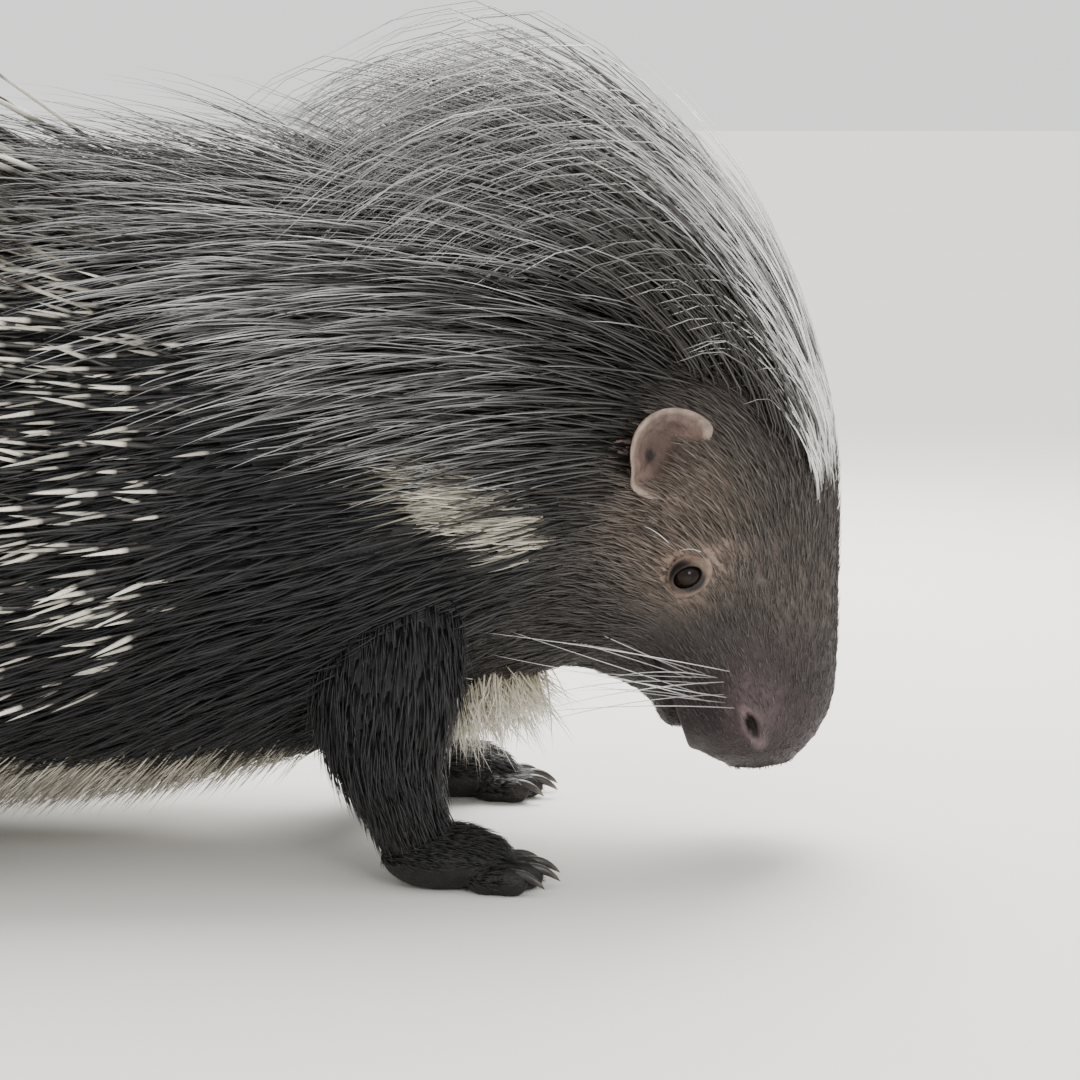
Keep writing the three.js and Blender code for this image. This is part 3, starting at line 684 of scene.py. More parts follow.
def strand_piece(name, paths, flat_side, width, thickness, taper, sides, marks, uv, looks,
                 tones):
    count, rings = len(paths), paths.shape[1] - 1
    verts = tube_points(paths, flat_side, width, thickness, taper, sides)
    per = verts.shape[1]
    corners, sizes = tube_faces(rings, sides)
    corner = (np.arange(count)[:, None] * per + np.array(corners)[None]).ravel()
    sizes = np.tile(sizes, count)
    mesh = bpy.data.meshes.new(name)
    mesh.vertices.add(count * per)
    mesh.vertices.foreach_set("co", row(verts.reshape(-1, 3)).ravel())
    mesh.loops.add(len(corner))
    mesh.loops.foreach_set("vertex_index", corner.astype(np.int32))
    mesh.polygons.add(len(sizes))
    mesh.polygons.foreach_set("loop_start", (np.cumsum(sizes) - sizes).astype(np.int32))
    mesh.update(calc_edges=True)
    along = np.append(np.repeat(np.arange(rings) / rings, sides), 1.0)
    across = np.append(np.tile(np.arange(sides) / sides, rings), 0.5)
    colours = np.column_stack([marks, np.ones(count)])
    write_layer(mesh, "along", "FLOAT", np.tile(along, count))
    write_layer(mesh, "tone", "FLOAT", np.repeat(tones, per))
    write_layer(mesh, "mark", "FLOAT_COLOR", np.repeat(colours, per, axis=0))
    spot = np.stack([np.tile(across, count), np.tile(along, count)], -1) - 0.5
    place = np.repeat(uv, per, axis=0) + spot * UV_PATCH
    mesh.uv_layers.new(name="OFBake").data.foreach_set("uv", place[corner].ravel())
    made = bpy.data.objects.new(name, mesh)
    bpy.context.scene.collection.objects.link(made)
    return finish_piece(made, looks)


def strands(name, paths, flat_side, width, thickness, taper, sides, marks, uv, looks,
            tones=None):
    """paths: strands x rings+1 x 3 in mm, the last point being the tip. Sizes may be arrays."""
    count, points = paths.shape[:2]
    triangles = count * (2 * sides * (points - 2) + sides + sides - 2)
    tones = rng.random(count) if tones is None else tones
    flat_side, marks = np.broadcast_to(flat_side, (count, 3)), np.broadcast_to(marks, (count, 3))
    width, thickness, tones = (np.broadcast_to(v, count) for v in (width, thickness, tones))
    pieces = max(1, math.ceil(triangles / MOST_TRIANGLES))
    for piece, chosen in enumerate(np.array_split(np.arange(count), pieces)):
        strand_piece(f"{name}_{piece + 1}" if pieces > 1 else name, paths[chosen],
                     flat_side[chosen], width[chosen], thickness[chosen], taper, sides,
                     marks[chosen], uv[chosen], looks, tones[chosen])
    print(name, count, "strands", triangles, "triangles")


# %% [markdown]
# The skin is the body's surface with finer features pressed into it: sockets, brows, nostrils,
# lips, wrinkles above the nose, and the hollow that an ear stands in. They could be a bump in the
# finish, but the outline of a head shows them. The skin lies under the solids by the depth of the
# short fur.

# %% features of the head
FUR_DEPTH = 2.2


def features(points):
    """How far the skin rises or sinks at a place: sockets, nostrils, the mouth and its lips."""
    side = mirrored(points)
    x, z = side[:, 0], side[:, 2]
    away = np.linalg.norm(side - EYE - [0, 3, 0], axis=1)
    rise = 1.2 * np.exp(-((away - 11.5) / 3) ** 2) - 4.5 * np.exp(-(away / 7.5) ** 4)
    brow = np.linalg.norm((side - [247, 48, 141]) / [14, 14, 5], axis=1)
    rise += 2.2 * np.exp(-brow ** 2)
    over, up = nostril_place(points)
    oval = np.hypot(up / 6.4, np.hypot(over, (side[:, 1] - NOSTRIL[1]) * 0.3) / 2.4)
    rise += 1.7 * np.exp(-((oval - 1.7) / 0.5) ** 2) - 5.0 * np.exp(-oval ** 4)
    slit = mouth_slit(x, z)
    in_mouth = smooth(z, 37, 41) * (1 - smooth(z, 84, 92)) * smooth(x, 212, 222)
    lips, gap = np.exp(-((np.abs(slit) - 4) / 2) ** 2), np.exp(-(slit / 1.7) ** 2)
    rise += in_mouth * (1.5 * lips - 3.6 * gap)
    hollow = np.linalg.norm(side - EAR - [-3, 0, -1], axis=1)
    rise += -5.5 * np.exp(-(hollow / 11) ** 4) * smooth(x, 190, 205)
    bumps = np.exp(-((x - NOSTRIL[0] - 2) / 8) ** 2 - ((z - NOSTRIL[2] - 15) / 6) ** 2)
    rise += bumps * (1.1 * np.sin(x * 1.15 + z * 0.5) * np.sin(z * 0.9) + 0.4)
    folds = np.sin((x - 250) * 0.5 + z * 0.42) * 0.15
    folds = folds * (1 - smooth(z, 60, 95)) * smooth(x, 240, 255)
    under_eye = np.exp(-((x - 218) / 26) ** 2 - ((z - 138) / 22) ** 2)
    cheek = np.sin(z * 0.42 - x * 0.25) * 0.5 * under_eye
    return rise + folds + cheek


def depth(share):
    """The skin lies deepest under the fur of the head."""
    return -FUR_DEPTH * (1 - smooth(share, 0.45, 0.6)) - 1


def body_skin(share, angle):
    points = skin_point(share, angle, depth(share))
    out = body_frame(share, angle)[1]
    return points + out * features(points)[:, None]


# %% [markdown]
# Legs and tail are tubes along a smooth line, with an own length and width at each ring. Their
# hair is drawn on the same tubes later.

# %% legs and tail
# Middle x, y and z, half length and half width of each ring, from the body down.
FORELEG = [[112, 66, 118, 34, 22], [112, 78, 88, 33, 21], [113, 84, 60, 26, 18],
           [119, 87, 38, 19, 15.5], [126, 88, 20, 15, 14]]
HINDLEG = [[-140, 62, 128, 56, 30], [-138, 84, 96, 52, 29], [-138, 94, 66, 40, 24],
           [-150, 97, 42, 25, 18], [-160, 97, 20, 17, 15]]
TAIL = [[-270, 0, 128, 30, 30], [-296, 0, 118, 22, 24], [-322, 0, 104, 15, 17],
        [-346, 0, 92, 9, 10]]
UNDER_HAIR, CAP = -1.5, 0.1


def limb_place(rings, side):
    """The surface of a leg or the tail, closed by rounded caps and lying under its hair."""
    rings = np.array(rings, float)
    line = Line(rings[:, :3] * [1, side, 1])
    sizes = Line(np.column_stack([rings[:, 3:], np.zeros(len(rings))]))

    def place(share, angle):
        t = np.clip((share - CAP) / (1 - 2 * CAP), 0, 1)
        past = np.clip(np.maximum(CAP - share, share - (1 - CAP)) / CAP, 0, 1) * math.pi / 2
        centre, size = line.at(t), sizes.at(t)
        heading = unit(line.at(np.minimum(t + 0.01, 1)) - line.at(np.maximum(t - 0.01, 0)))
        across = np.array([0.0, 1.0, 0.0])
        wide = unit(across - heading * (heading @ across)[:, None])
        long = np.cross(wide, heading)
        half_long, half_wide = size[:, 0] + UNDER_HAIR, size[:, 1] + UNDER_HAIR
        centre = centre + long * (half_long * np.cos(angle) * np.cos(past))[:, None]
        centre = centre + wide * (half_wide * np.sin(angle) * np.cos(past))[:, None]
        end = (size[:, 1] * 0.6 + UNDER_HAIR) * np.sin(past) * np.where(share < 0.5, -1, 1)
        return centre + heading * end[:, None]
    return place


def ellipsoid(centre, radii, turn=0.0):
    """The surface of a ball stretched along its own axes and turned about the upright one."""
    def place(share, angle):
        polar = share * math.pi
        round_share = np.sin(polar)
        p = np.stack([np.cos(polar), round_share * np.cos(angle), round_share * np.sin(angle)], -1)
        p = p * radii
        c, s = math.cos(turn), math.sin(turn)
        turned = [p[:, 0] * c - p[:, 1] * s, p[:, 0] * s + p[:, 1] * c, p[:, 2]]
        return np.stack(turned, -1) + centre
    return place


# %% [markdown]
# A foot is a broad palm with short toes, and the hind foot has a heel as well. Each is a few
# ellipsoids in a union, which is then remeshed and smoothed, so that the toes grow out of the palm
# as flesh does. Its lowest points are brought up to the floor.

# %% feet
FOREFOOT = dict(x=138, y=88, length=28, width=19, height=15, toes=4, spread=0.62, toe=23,
                radius=6.4, claw=17, heel=None)
HINDFOOT = dict(x=-122, y=97, length=34, width=21, height=15, toes=5, spread=0.7, toe=24,
                radius=6.6, claw=15, heel=(-156, 97, 12))
ABOVE_FLOOR = 0.0004


def palm_of(foot, side):
    return ellipsoid([foot["x"], side * foot["y"], foot["height"] - 2.5],
                     [foot["length"] - 1, foot["width"] - 1, foot["height"] - 1])


def toes_of(foot, side):
    """Start, heading, reach and fan angle of each toe."""
    for i in range(foot["toes"]):
        fan = (i / (foot["toes"] - 1) - 0.5) * foot["spread"]
        start = np.array([foot["x"] + foot["length"] * 0.55 * math.cos(fan * 2),
                          side * foot["y"] + fan * foot["width"] * 2.1, foot["radius"] - 1])
        heading = np.array([math.cos(fan), math.sin(fan), 0])
        yield start, heading, foot["toe"] * (1 - 0.35 * abs(fan) / foot["spread"]), fan


def foot_form(name, foot, side):
    shares = np.linspace(0, 1, 17)
    forms = [loft(name, shares, 24, palm_of(foot, side))]
    if foot["heel"]:
        x, y, z = foot["heel"]
        heel = ellipsoid([x, side * y, z], [17, 13, 12])
        forms.append(loft(name + "_heel", shares, 20, heel))
    for start, heading, reach, fan in toes_of(foot, side):
        for far, size in ((0.3, 1.0), (0.78, 0.92)):
            spot = start + heading * reach * far
            radii = [reach * 0.48, foot["radius"] * size, (foot["radius"] + 0.6) * size]
            forms.append(loft(name + "_toe", shares, 16, ellipsoid(spot, radii, fan)))
    made = fuse(forms[0], forms[1:])
    apply_modifier(made, "REMESH", mode="VOXEL", voxel_size=0.0016)
    apply_modifier(made, "SMOOTH", factor=0.6, iterations=6)
    co = vertices_of(made)
    co[:, 2] = np.maximum(co[:, 2], ABOVE_FLOOR)
    made.data.vertices.foreach_set("co", co.ravel())
    return made


# %% [markdown]
# The ear is a thin cup with a raised rim at its back and top. It could be a solidified bowl, but
# the rim and the thickness both change round the ear, so front, rim and back are one loft.

# %% ears
EAR_LONG, EAR_HIGH = 21, 19.5


def ear_form(name, side):
    """A thin cup: a front face, a rim and a back face, from one grid of rings."""
    def place(share, angle):
        front = share < 0.5
        radial = np.sin(np.pi * share)
        stands = smooth(np.cos(angle - 2.0), -0.5, 0.25)
        edge = 1 + 0.03 * np.sin(angle * 3 + 1) + 0.05 * stands
        cup = -5 + (4 + 8.5 * stands) * radial ** 2 - 3 * (1 - stands) * radial
        ridge = 1.6 * stands * np.exp(-((radial - 0.72) / 0.09) ** 2)
        thick = np.where(front, ridge, -2.2 + 0.9 * radial)
        spot = np.stack([EAR_LONG * radial * edge * np.cos(angle), cup + thick,
                         EAR_HIGH * radial * edge * np.sin(angle)], -1)
        return (spot @ EAR_TILT + EAR) * [1, side, 1]
    return loft(name, np.linspace(0, 1, 41), 56, place)


# %% [markdown]
# All flesh is one skin, so that no seam shows. The body's rows are closest on the head, the end of
# the muzzle is smoothed through a vertex group, and limbs, ears and tail are joined to it.

# %% skin
HEAD_END, NOSE_SOFT, NOSE_SHARP = 0.52, 0.055, 0.085
head_rows = np.linspace(0, HEAD_END, 190)
rear_rows = np.linspace(HEAD_END, 1, 90)[1:]
skin_rows, skin_round = np.concatenate([head_rows, rear_rows]), 160
skin = loft("porcupine_skin", skin_rows, skin_round, body_skin)
nose_end = skin.vertex_groups.new(name="nose_end")
for i, share in enumerate(skin_rows[1:-1]):
    if share < NOSE_SHARP:
        ring = range(i * skin_round, (i + 1) * skin_round)
        nose_end.add(list(ring), float(1 - smooth(share, NOSE_SOFT, NOSE_SHARP)), "REPLACE")
nose_end.add([(len(skin_rows) - 2) * skin_round], 1.0, "REPLACE")
apply_modifier(skin, "SMOOTH", factor=0.5, iterations=40, vertex_group="nose_end")
added, limb_rows = [], np.linspace(0, 1, 30)
for side in (1, -1):
    added.append(loft("foreleg", limb_rows, 32, limb_place(FORELEG, side)))
    added.append(loft("hindleg", limb_rows, 36, limb_place(HINDLEG, side)))
    added.append(foot_form("forefoot_skin", FOREFOOT, side))
    added.append(foot_form("hindfoot_skin", HINDFOOT, side))
    added.append(ear_form("ear_skin", side))
added.append(loft("tail_skin", limb_rows, 28, limb_place(TAIL, 1)))
fuse(skin, added)
mark_piece(skin)
FLESH = ["head", "lower_jaw", "neck", "torso", "tail"]
FLESH += [f"{part}_{side}" for side in ("left", "right")
          for part in ("foreleg", "forefoot", "hindleg", "hindfoot", "ear")]
finish_piece(skin, SKIN, FLESH)
print("skin", len(skin.data.polygons), "faces", [round(v, 3) for v in skin.dimensions])

# %% [markdown]
# The eyeball is a smooth wet ball set deep in the head. A primitive ball is all it needs, added at
# the solid eye's place and size. A finished piece has its place in its mesh, so the ball's place
# and turn are applied.

# %% eyeballs
def eyeball(name, side):
    select_only(skin)
    bpy.ops.mesh.primitive_uv_sphere_add(
        segments=48, ring_count=32, radius=(EYE_RADIUS - 0.1) / 1000, calc_uvs=False,
        location=tuple(row(EYE * [1, side, 1])), rotation=(0, math.pi / 2, 0))
    ball = bpy.context.active_object
    ball.name = ball.data.name = "eyeball_" + name
    select_only(ball)
    bpy.ops.object.transform_apply(location=True, rotation=True, scale=True)
    finish_piece(ball, EYE_DARK, ["eye_" + name])
    print(ball.name, [round(v * 1000, 1) for v in ball.dimensions], "mm")


# %% [markdown]
# The lids are a ring of skin from the socket to the ball, almond-shaped inside, so that the eye
# sits in the head and doesn't stare. A sheet of rings is given a thickness by Solidify. It bulges
# over the ball, where its inner edge turns in.

# %% lids
LID_STEPS, LID_ROUND, LID_EDGE = 12, 48, 0.75


def lid_place(share, angle, centre, side):
    inner = smooth(share, 0.0, LID_EDGE)
    wide, high = 10.5 - 4.3 * inner, 9.0 - 4.2 * inner
    along, up = wide * np.cos(angle), high * np.sin(angle)
    radial = np.hypot(along, up)
    on_ball = np.sqrt(np.maximum(EYE_RADIUS ** 2 - radial ** 2, 0)) + 0.7
    bulge = 0.9 * np.sin(share * 3.6) + on_ball * inner + 1.2 * (1 - inner)
    out = np.where(share < LID_EDGE, bulge, on_ball - 1.6)
    slope = 0.25 * along
    return np.stack([centre[0] + along, centre[1] + side * out, centre[2] + up + slope], -1)


def lids(name, side):
    angles = np.arange(LID_ROUND) * 2 * math.pi / LID_ROUND
    share, angle = np.meshgrid(np.linspace(0, 1, LID_STEPS), angles, indexing="ij")
    verts = lid_place(share.ravel(), angle.ravel(), EYE * [1, side, 1], side)
    faces = []
    for i in range(LID_STEPS - 1):
        here, there = i * LID_ROUND, (i + 1) * LID_ROUND
        for j in range(LID_ROUND):
            k = (j + 1) % LID_ROUND
            faces.append((here + j, here + k, there + k, there + j)[::side])
    made = new_object("lids_" + name, row(verts), faces)
    apply_modifier(made, "SOLIDIFY", thickness=0.0006, offset=-1.0)
    mark_piece(made)
    finish_piece(made, SKIN)
    print(made.name, len(made.data.polygons), "faces")


for name, side in (("left", 1), ("right", -1)):
    eyeball(name, side)
    lids(name, side)

# %% [markdown]
# Claws are curved, tapered horn on each toe. They could be bent cones. The strand maker already
# tapers, closes and unwraps a path, so each claw is a short strand of ten sides.

# %% claws
SIDEWAYS = [0.0, 1.0, 0.0]
paths = []
for foot in (FOREFOOT, HINDFOOT):
    for side in (1, -1):
        for start, heading, reach, fan in toes_of(foot, side):
            tip = start + heading * reach
            t = np.linspace(0, 1, 9)[:, None]
            spot = tip + heading * (-4 + foot["claw"] * 0.95 * t)
            spot[:, 2] = foot["radius"] + 1.5 + 2.2 * np.sin(t[:, 0] * 2.2) - 6.2 * t[:, 0] ** 2
            paths.append(spot)
paths = np.array(paths)
paths[..., 2] = np.maximum(paths[..., 2], 1.3)
n = len(paths)
spots = np.column_stack([np.linspace(0.05, 0.95, n), np.full(n, 0.97)])
strands("claws", paths, SIDEWAYS, 2.3, 2.9, lambda t: 1 - 0.85 * t ** 1.6, 10, [0, 0, 0], spots,
        CLAW)

# %% [markdown]
# The coat. Roots are drawn over the body by area times a density that each kind of hair has, so
# that they are spread evenly where the body is wide and where it is narrow.

# %% roots
ROW_STEP, TURN_STEP = 0.00125, 0.013
grid_share, grid_angle = np.meshgrid(np.linspace(0.01, 0.99, 400),
                                     np.arange(240) * 2 * math.pi / 240, indexing="ij")
grid_share, grid_angle = grid_share.ravel(), grid_angle.ravel()
grid_point = skin_point(grid_share, grid_angle)
step_back = np.linalg.norm(body_point(grid_share + 0.001, grid_angle)
                           - body_point(grid_share - 0.001, grid_angle), axis=1)
step_round = np.linalg.norm(body_point(grid_share, grid_angle + 0.01)
                            - body_point(grid_share, grid_angle - 0.01), axis=1)
grid_area = step_back * step_round
print("places for roots", len(grid_area))


def roots(count, density):
    """Shares, angles and a frame of skin for that many roots, spread by a density of the place."""
    weight = grid_area * np.maximum(density(grid_point, grid_share, grid_angle), 0)
    count = max(4, int(count * DENSITY))
    chosen = rng.choice(len(weight), count, p=weight / weight.sum())
    share = grid_share[chosen] + rng.uniform(-ROW_STEP, ROW_STEP, count)
    angle = grid_angle[chosen] + rng.uniform(-TURN_STEP, TURN_STEP, count)
    point = body_skin(share, angle)
    back, out = body_frame(share, angle)
    turn = (angle % (2 * math.pi)) / (2 * math.pi)
    uv = np.column_stack([share * 0.96 + 0.02, turn * 0.7 + 0.02])
    return share, angle, point, back, out, uv


# %% [markdown]
# Each strand starts along the lie of the coat, lifted off the skin and turned aside by a little,
# and bends as it goes. Hair thins towards its tip, and a quill is thickest near a third of its
# length.

# %% lie and taper of the coat
def bowed(point, heading, bend, length, rings, sink=3.0):
    """Paths that set off along a heading and bend by a vector as they go."""
    t = np.linspace(0, 1, rings + 1)[None, :, None]
    start = point - heading * sink
    return start[:, None] + (heading[:, None] * t + bend[:, None] * t * t) * length[:, None, None]


def lay(back, out, lift, turn, fall=0.0):
    """A heading along the coat: lifted off the skin, turned aside and drawn down."""
    around = np.cross(out, back)
    heading = back * np.cos(lift)[:, None] + out * np.sin(lift)[:, None] + around * turn[:, None]
    heading[:, 2] -= fall
    return unit(heading)


def vary(count, low, high):
    return rng.uniform(low, high, count)


def hair_taper(t):
    return 1 - 0.9 * t ** 1.5


def quill_taper(t):
    return np.minimum(1, 0.45 + 2.2 * t) * (1 - 0.95 * t ** 3)


# %% [markdown]
# The face has short fur that lies flat and points away from the nose, longest at the neck. It
# could be only bump, but the outline of a head shows its hairs, so it is thin three-sided strands,
# with none on the lids, the nostrils, the lips and the cup of the ear.

# %% short fur of the head
def bare(points):
    side = mirrored(points)
    slit = np.abs(mouth_slit(side[:, 0], side[:, 2])) + 40 * (side[:, 2] > 90)
    clear = 1 - np.maximum.reduce([
        patch(points, EYE, [9, 14, 8], 0.15), patch(points, NOSTRIL, [6, 12, 7], 0.3),
        patch(points, EAR + [1, -4, 0], [12, 18, 14], 0.25)])
    return clear * smooth(slit, 2.5, 5)


share, angle, point, back, out, uv = roots(27000, lambda p, s, a: (
    bare(p) * (0.55 + 0.45 * smooth(s, 0.02, 0.1)) * (1 - smooth(s, 0.5, 0.56))))
n = len(share)
length = (3.5 + 13 * smooth(share, 0.1, 0.5)) * vary(n, 0.7, 1.25)
heading = lay(back, out, vary(n, 0.12, 0.42), vary(n, -0.2, 0.2), 0.05)
strands("face_fur", bowed(point, heading, -out * 0.14, length, 2, 1.4), np.cross(heading, out),
        vary(n, 0.35, 0.6) * (0.7 + 0.6 * smooth(share, 0.1, 0.5)), 0.18, hair_taper, 3,
        marking(point), uv, FUR)

# %% [markdown]
# The body wears flat black bristles that overlap like thatch. Wide, thin strands with their flat
# side to the skin cover it with few faces, and they are thinned towards the rump, where quills
# take over.

# %% black flat bristles
share, angle, point, back, out, uv = roots(17000, lambda p, s, a: (
    smooth(s, 0.46, 0.53) * (1 - 0.55 * smooth(s, 0.75, 0.95))
    * (0.35 + smooth(-np.sin(a), -0.9, 0.4))))
n = len(share)
side_share = smooth(np.abs(np.cos(angle)), 0.2, 0.9)
length = (30 + 18 * side_share) * vary(n, 0.6, 1.25)
length = length * (1 - 0.4 * smooth(-np.sin(angle), 0.4, 0.9))
heading = lay(back, out, vary(n, 0.08, 0.4), vary(n, -0.15, 0.15), 0.22 * side_share.mean())
strands("black_bristles", bowed(point, heading, -out * 0.13, length, 3), np.cross(heading, out),
        vary(n, 0.7, 1.3), 0.28, hair_taper, 3, marking(point), uv, BRISTLE)

# %% [markdown]
# Three places are pale: a slanting stripe on each side of the neck, a loose tuft that hangs from
# the chest, and the belly's edge. Each is its own draw of roots inside the marking's own patch, so
# that skin and hair are pale in the same place. The stripe's hair stands off a little, and is
# soft and narrow.

# %% pale stripe of the neck
PALE_THIN = 0.25
share, angle, point, back, out, uv = roots(1900, lambda p, s, a: neck_patch(p))
n = len(share)
heading = lay(back, out, vary(n, 0.25, 0.5), vary(n, -0.15, 0.15), -0.05)
strands("neck_patch", bowed(point, heading, -out * 0.2, vary(n, 16, 32), 3), np.cross(heading, out),
        vary(n, 0.5, 0.9), PALE_THIN, hair_taper, 3, marking(point), uv, CREAM_HAIR)

# %% [markdown]
# The belly's edge hangs a little lower than the flank, with pale tips that clear the floor.

# %% pale edge of the belly
share, angle, point, back, out, uv = roots(3000, lambda p, s, a: (
    (1 - smooth(p[:, 2], 40, 58)) * smooth(p[:, 0], -90, -55) * (1 - smooth(p[:, 0], 68, 90))
    * smooth(np.abs(p[:, 1]), 25, 50) * smooth(s, 0.5, 0.6)))
n = len(share)
heading = lay(back, out, vary(n, 0.2, 0.6), vary(n, -0.2, 0.2), 0.5)
paths = bowed(point, heading, -out * 0.1, vary(n, 16, 30), 3)
paths[..., 2] = np.maximum(paths[..., 2], 4)
strands("belly_fringe", paths, np.cross(heading, out), vary(n, 0.5, 0.9), PALE_THIN,
        hair_taper, 3, marking(point), uv, CREAM_HAIR)

# %% [markdown]
# The tuft of the chest is loose: each hair sets off in a way of its own around the skin's normal.

# %% pale tuft of the chest
share, angle, point, back, out, uv = roots(1300, lambda p, s, a: (
    patch(p, CHEST, [20, 44, 16], 0.4) * smooth(-np.sin(a), 0.2, 0.6) * (1 - smooth(s, 0.5, 0.53))))
n = len(share)
heading = unit(out * vary(n, 0.5, 1.1)[:, None] + back * vary(n, -0.3, 0.5)[:, None]
               + rng.normal(0, 0.22, (n, 3)))
strands("chest_tuft", bowed(point, heading, rng.normal(0, 0.2, (n, 3)), vary(n, 20, 33), 4),
        np.cross(heading, out), vary(n, 0.5, 0.9), PALE_THIN, hair_taper, 3,
        marking(point), uv, CREAM_HAIR, 0.95)

# %% [markdown]
# The crest is long and springy, and arches up from the crown and over towards the back. Each hair
# could be bent by gravity. One curve is drawn instead, and each hair is that curve at a size and a
# lean of its own, both growing towards the back, so that the hairs nest in one another.

# %% curve of the crest
ARC = Line([[4, 0, -7], [-12, 0, 34], [-38, 0, 76], [-76, 0, 118], [-128, 0, 148],
            [-184, 0, 130]])
CREST_START, CREST_LONG, CREST_TOP, TOP_SOFT = 0.365, 0.14, 378.0, 14
STEPS = [0, 0.25, 0.5, 0.75, 1]
SIZES, LEANS = [0.45, 0.8, 1.02, 1, 0.96], [-0.12, -0.1, 0, 0.16, 0.34]


def crest_paths(share, angle, rings, size_range, reach=1.0):
    """The drawn curve at each root, sized, leant and spread aside, and blended into the skin."""
    n = len(share)
    back = np.clip((share - CREST_START) / CREST_LONG, 0, 1)
    aside = math.pi / 2 - angle
    size = np.interp(back, STEPS, SIZES) * (1 - np.abs(aside) * 0.3)
    size = size * vary(n, *size_range)
    lean = np.interp(back, STEPS, LEANS) + rng.normal(0, 0.045, n)
    t = (1 - (1 - np.linspace(0, 1, rings + 1)) ** 1.4) * reach
    arc = ARC.at(t)[None] * size[:, None, None]
    c, s = np.cos(lean)[:, None], np.sin(lean)[:, None]
    x, z = arc[..., 0] * c - arc[..., 2] * s, arc[..., 0] * s + arc[..., 2] * c
    y = (aside * 52 * size + rng.normal(0, 9, n))[:, None] * t[None]
    paths = np.stack([x, y, z], -1) + skin_point(share, angle)[:, None]
    rooted = np.exp(-9 * t)[None, :, None]
    return paths * (1 - rooted) + skin_point(share, angle, depth(share) - 4)[:, None] * rooted


def capped(paths):
    """The same paths with what stands above the crest's top eased down to it."""
    over = np.maximum(paths[..., 2] - CREST_TOP, 0)
    paths[..., 2] -= over - TOP_SOFT * np.tanh(over / TOP_SOFT)
    return paths


def ragged(count):
    """Flat sides that face any way, as springy hair's do."""
    return np.column_stack([vary(count, -1, 1), np.ones(count), vary(count, 0.2, 1)])


# %% [markdown]
# Along the middle of the crown the crest's hair is white, partly its own colour and partly a
# painted highlight of the light from behind, and to its sides it is dark with silver ends. It is
# one draw of roots, shared out between two pieces with a finish each.

# %% crest
RIM_TURN, RIM_END = 0.62, 0.44
share, angle, point, back, out, uv = roots(2900, lambda p, s, a: (
    smooth(s, 0.35, 0.38) * (1 - smooth(s, 0.5, 0.53)) * smooth(np.sin(a), 0.66, 0.84)))
n = len(share)
edge = ragged(n)
paths = capped(crest_paths(share, angle, 9, (0.5, 1.02)))
wide, thin, tones = vary(n, 0.5, 0.9), vary(n, 0.35, 0.5), vary(n, 0, 1) ** 1.7
# The top hair's whiter finish and brighter tones are partly its own colour, partly a painted
# highlight.
rim = (np.abs(angle - math.pi / 2) < RIM_TURN) & (share < RIM_END)
for name, chosen, looks, own in (("crest", ~rim, CREST_HAIR, tones),
                                 ("crest_top_painted_highlight", rim, TOP_HAIR_AND_PAINTED_HIGHLIGHT, tones * 0.6 + 0.4)):
    strands(name, paths[chosen], edge[chosen], wide[chosen], thin[chosen], hair_taper, 3,
            marking(point)[chosen], uv[chosen], looks, own[chosen])

# %% [markdown]
# A white forelock stands over the brow, in front of the crest. Its white and its bright tones are
# partly the hair's own colour and partly a painted highlight. It is the same curve, but only its
# first part, at a larger size.

# %% forelock
share, angle, point, back, out, uv = roots(1150, lambda p, s, a: (
    smooth(s, 0.31, 0.34) * (1 - smooth(s, 0.38, 0.41)) * smooth(np.sin(a), 0.78, 0.92)))
n = len(share)
edge = ragged(n)
paths = capped(crest_paths(share, angle, 8, (0.8, 1.35), 0.7))
# White from the root and bright tones: partly the hair's own colour, partly a painted highlight.
strands("forelock", paths, edge, vary(n, 0.5, 0.9), vary(n, 0.35, 0.5), hair_taper, 3,
        marking(point), uv, FORELOCK_AND_PAINTED_HIGHLIGHT, vary(n, 0.6, 1))

# %% [markdown]
# Behind the crest the hair of the nape and shoulders sweeps back with silver tips. It has the
# same bristle section as the crest, but each hair only bows a little, so no drawn curve is needed.

# %% mane
share, angle, point, back, out, uv = roots(4600, lambda p, s, a: (
    (1 - 0.8 * neck_patch(p)) * smooth(s, 0.47, 0.52) * (1 - smooth(s, 0.69, 0.74))
    * smooth(np.sin(a) - 0.88 * smooth(s, 0.5, 0.76), 0.0, 0.35)))
n = len(share)
top = np.clip(np.sin(angle), 0, 1)
length = (70 + 95 * top) * vary(n, 0.55, 1.05)
heading = lay(back, out, (0.22 + 0.45 * top) * vary(n, 0.5, 1.15), vary(n, -0.16, 0.16), 0.1)
bend = -out * 0.22 - np.array([0, 0, 0.1])
strands("mane", bowed(point, heading, bend, length, 6), np.cross(heading, out), vary(n, 0.55, 1.0),
        vary(n, 0.3, 0.45), hair_taper, 3, marking(point), uv, MANE_HAIR)

# %% [markdown]
# The back carries long, stiff quills with dark and white bands, thickest near a third of their
# length. Tips that would pass the tallest height that the solids have are laid lower by leaning the
# whole quill, so that it stays straight.

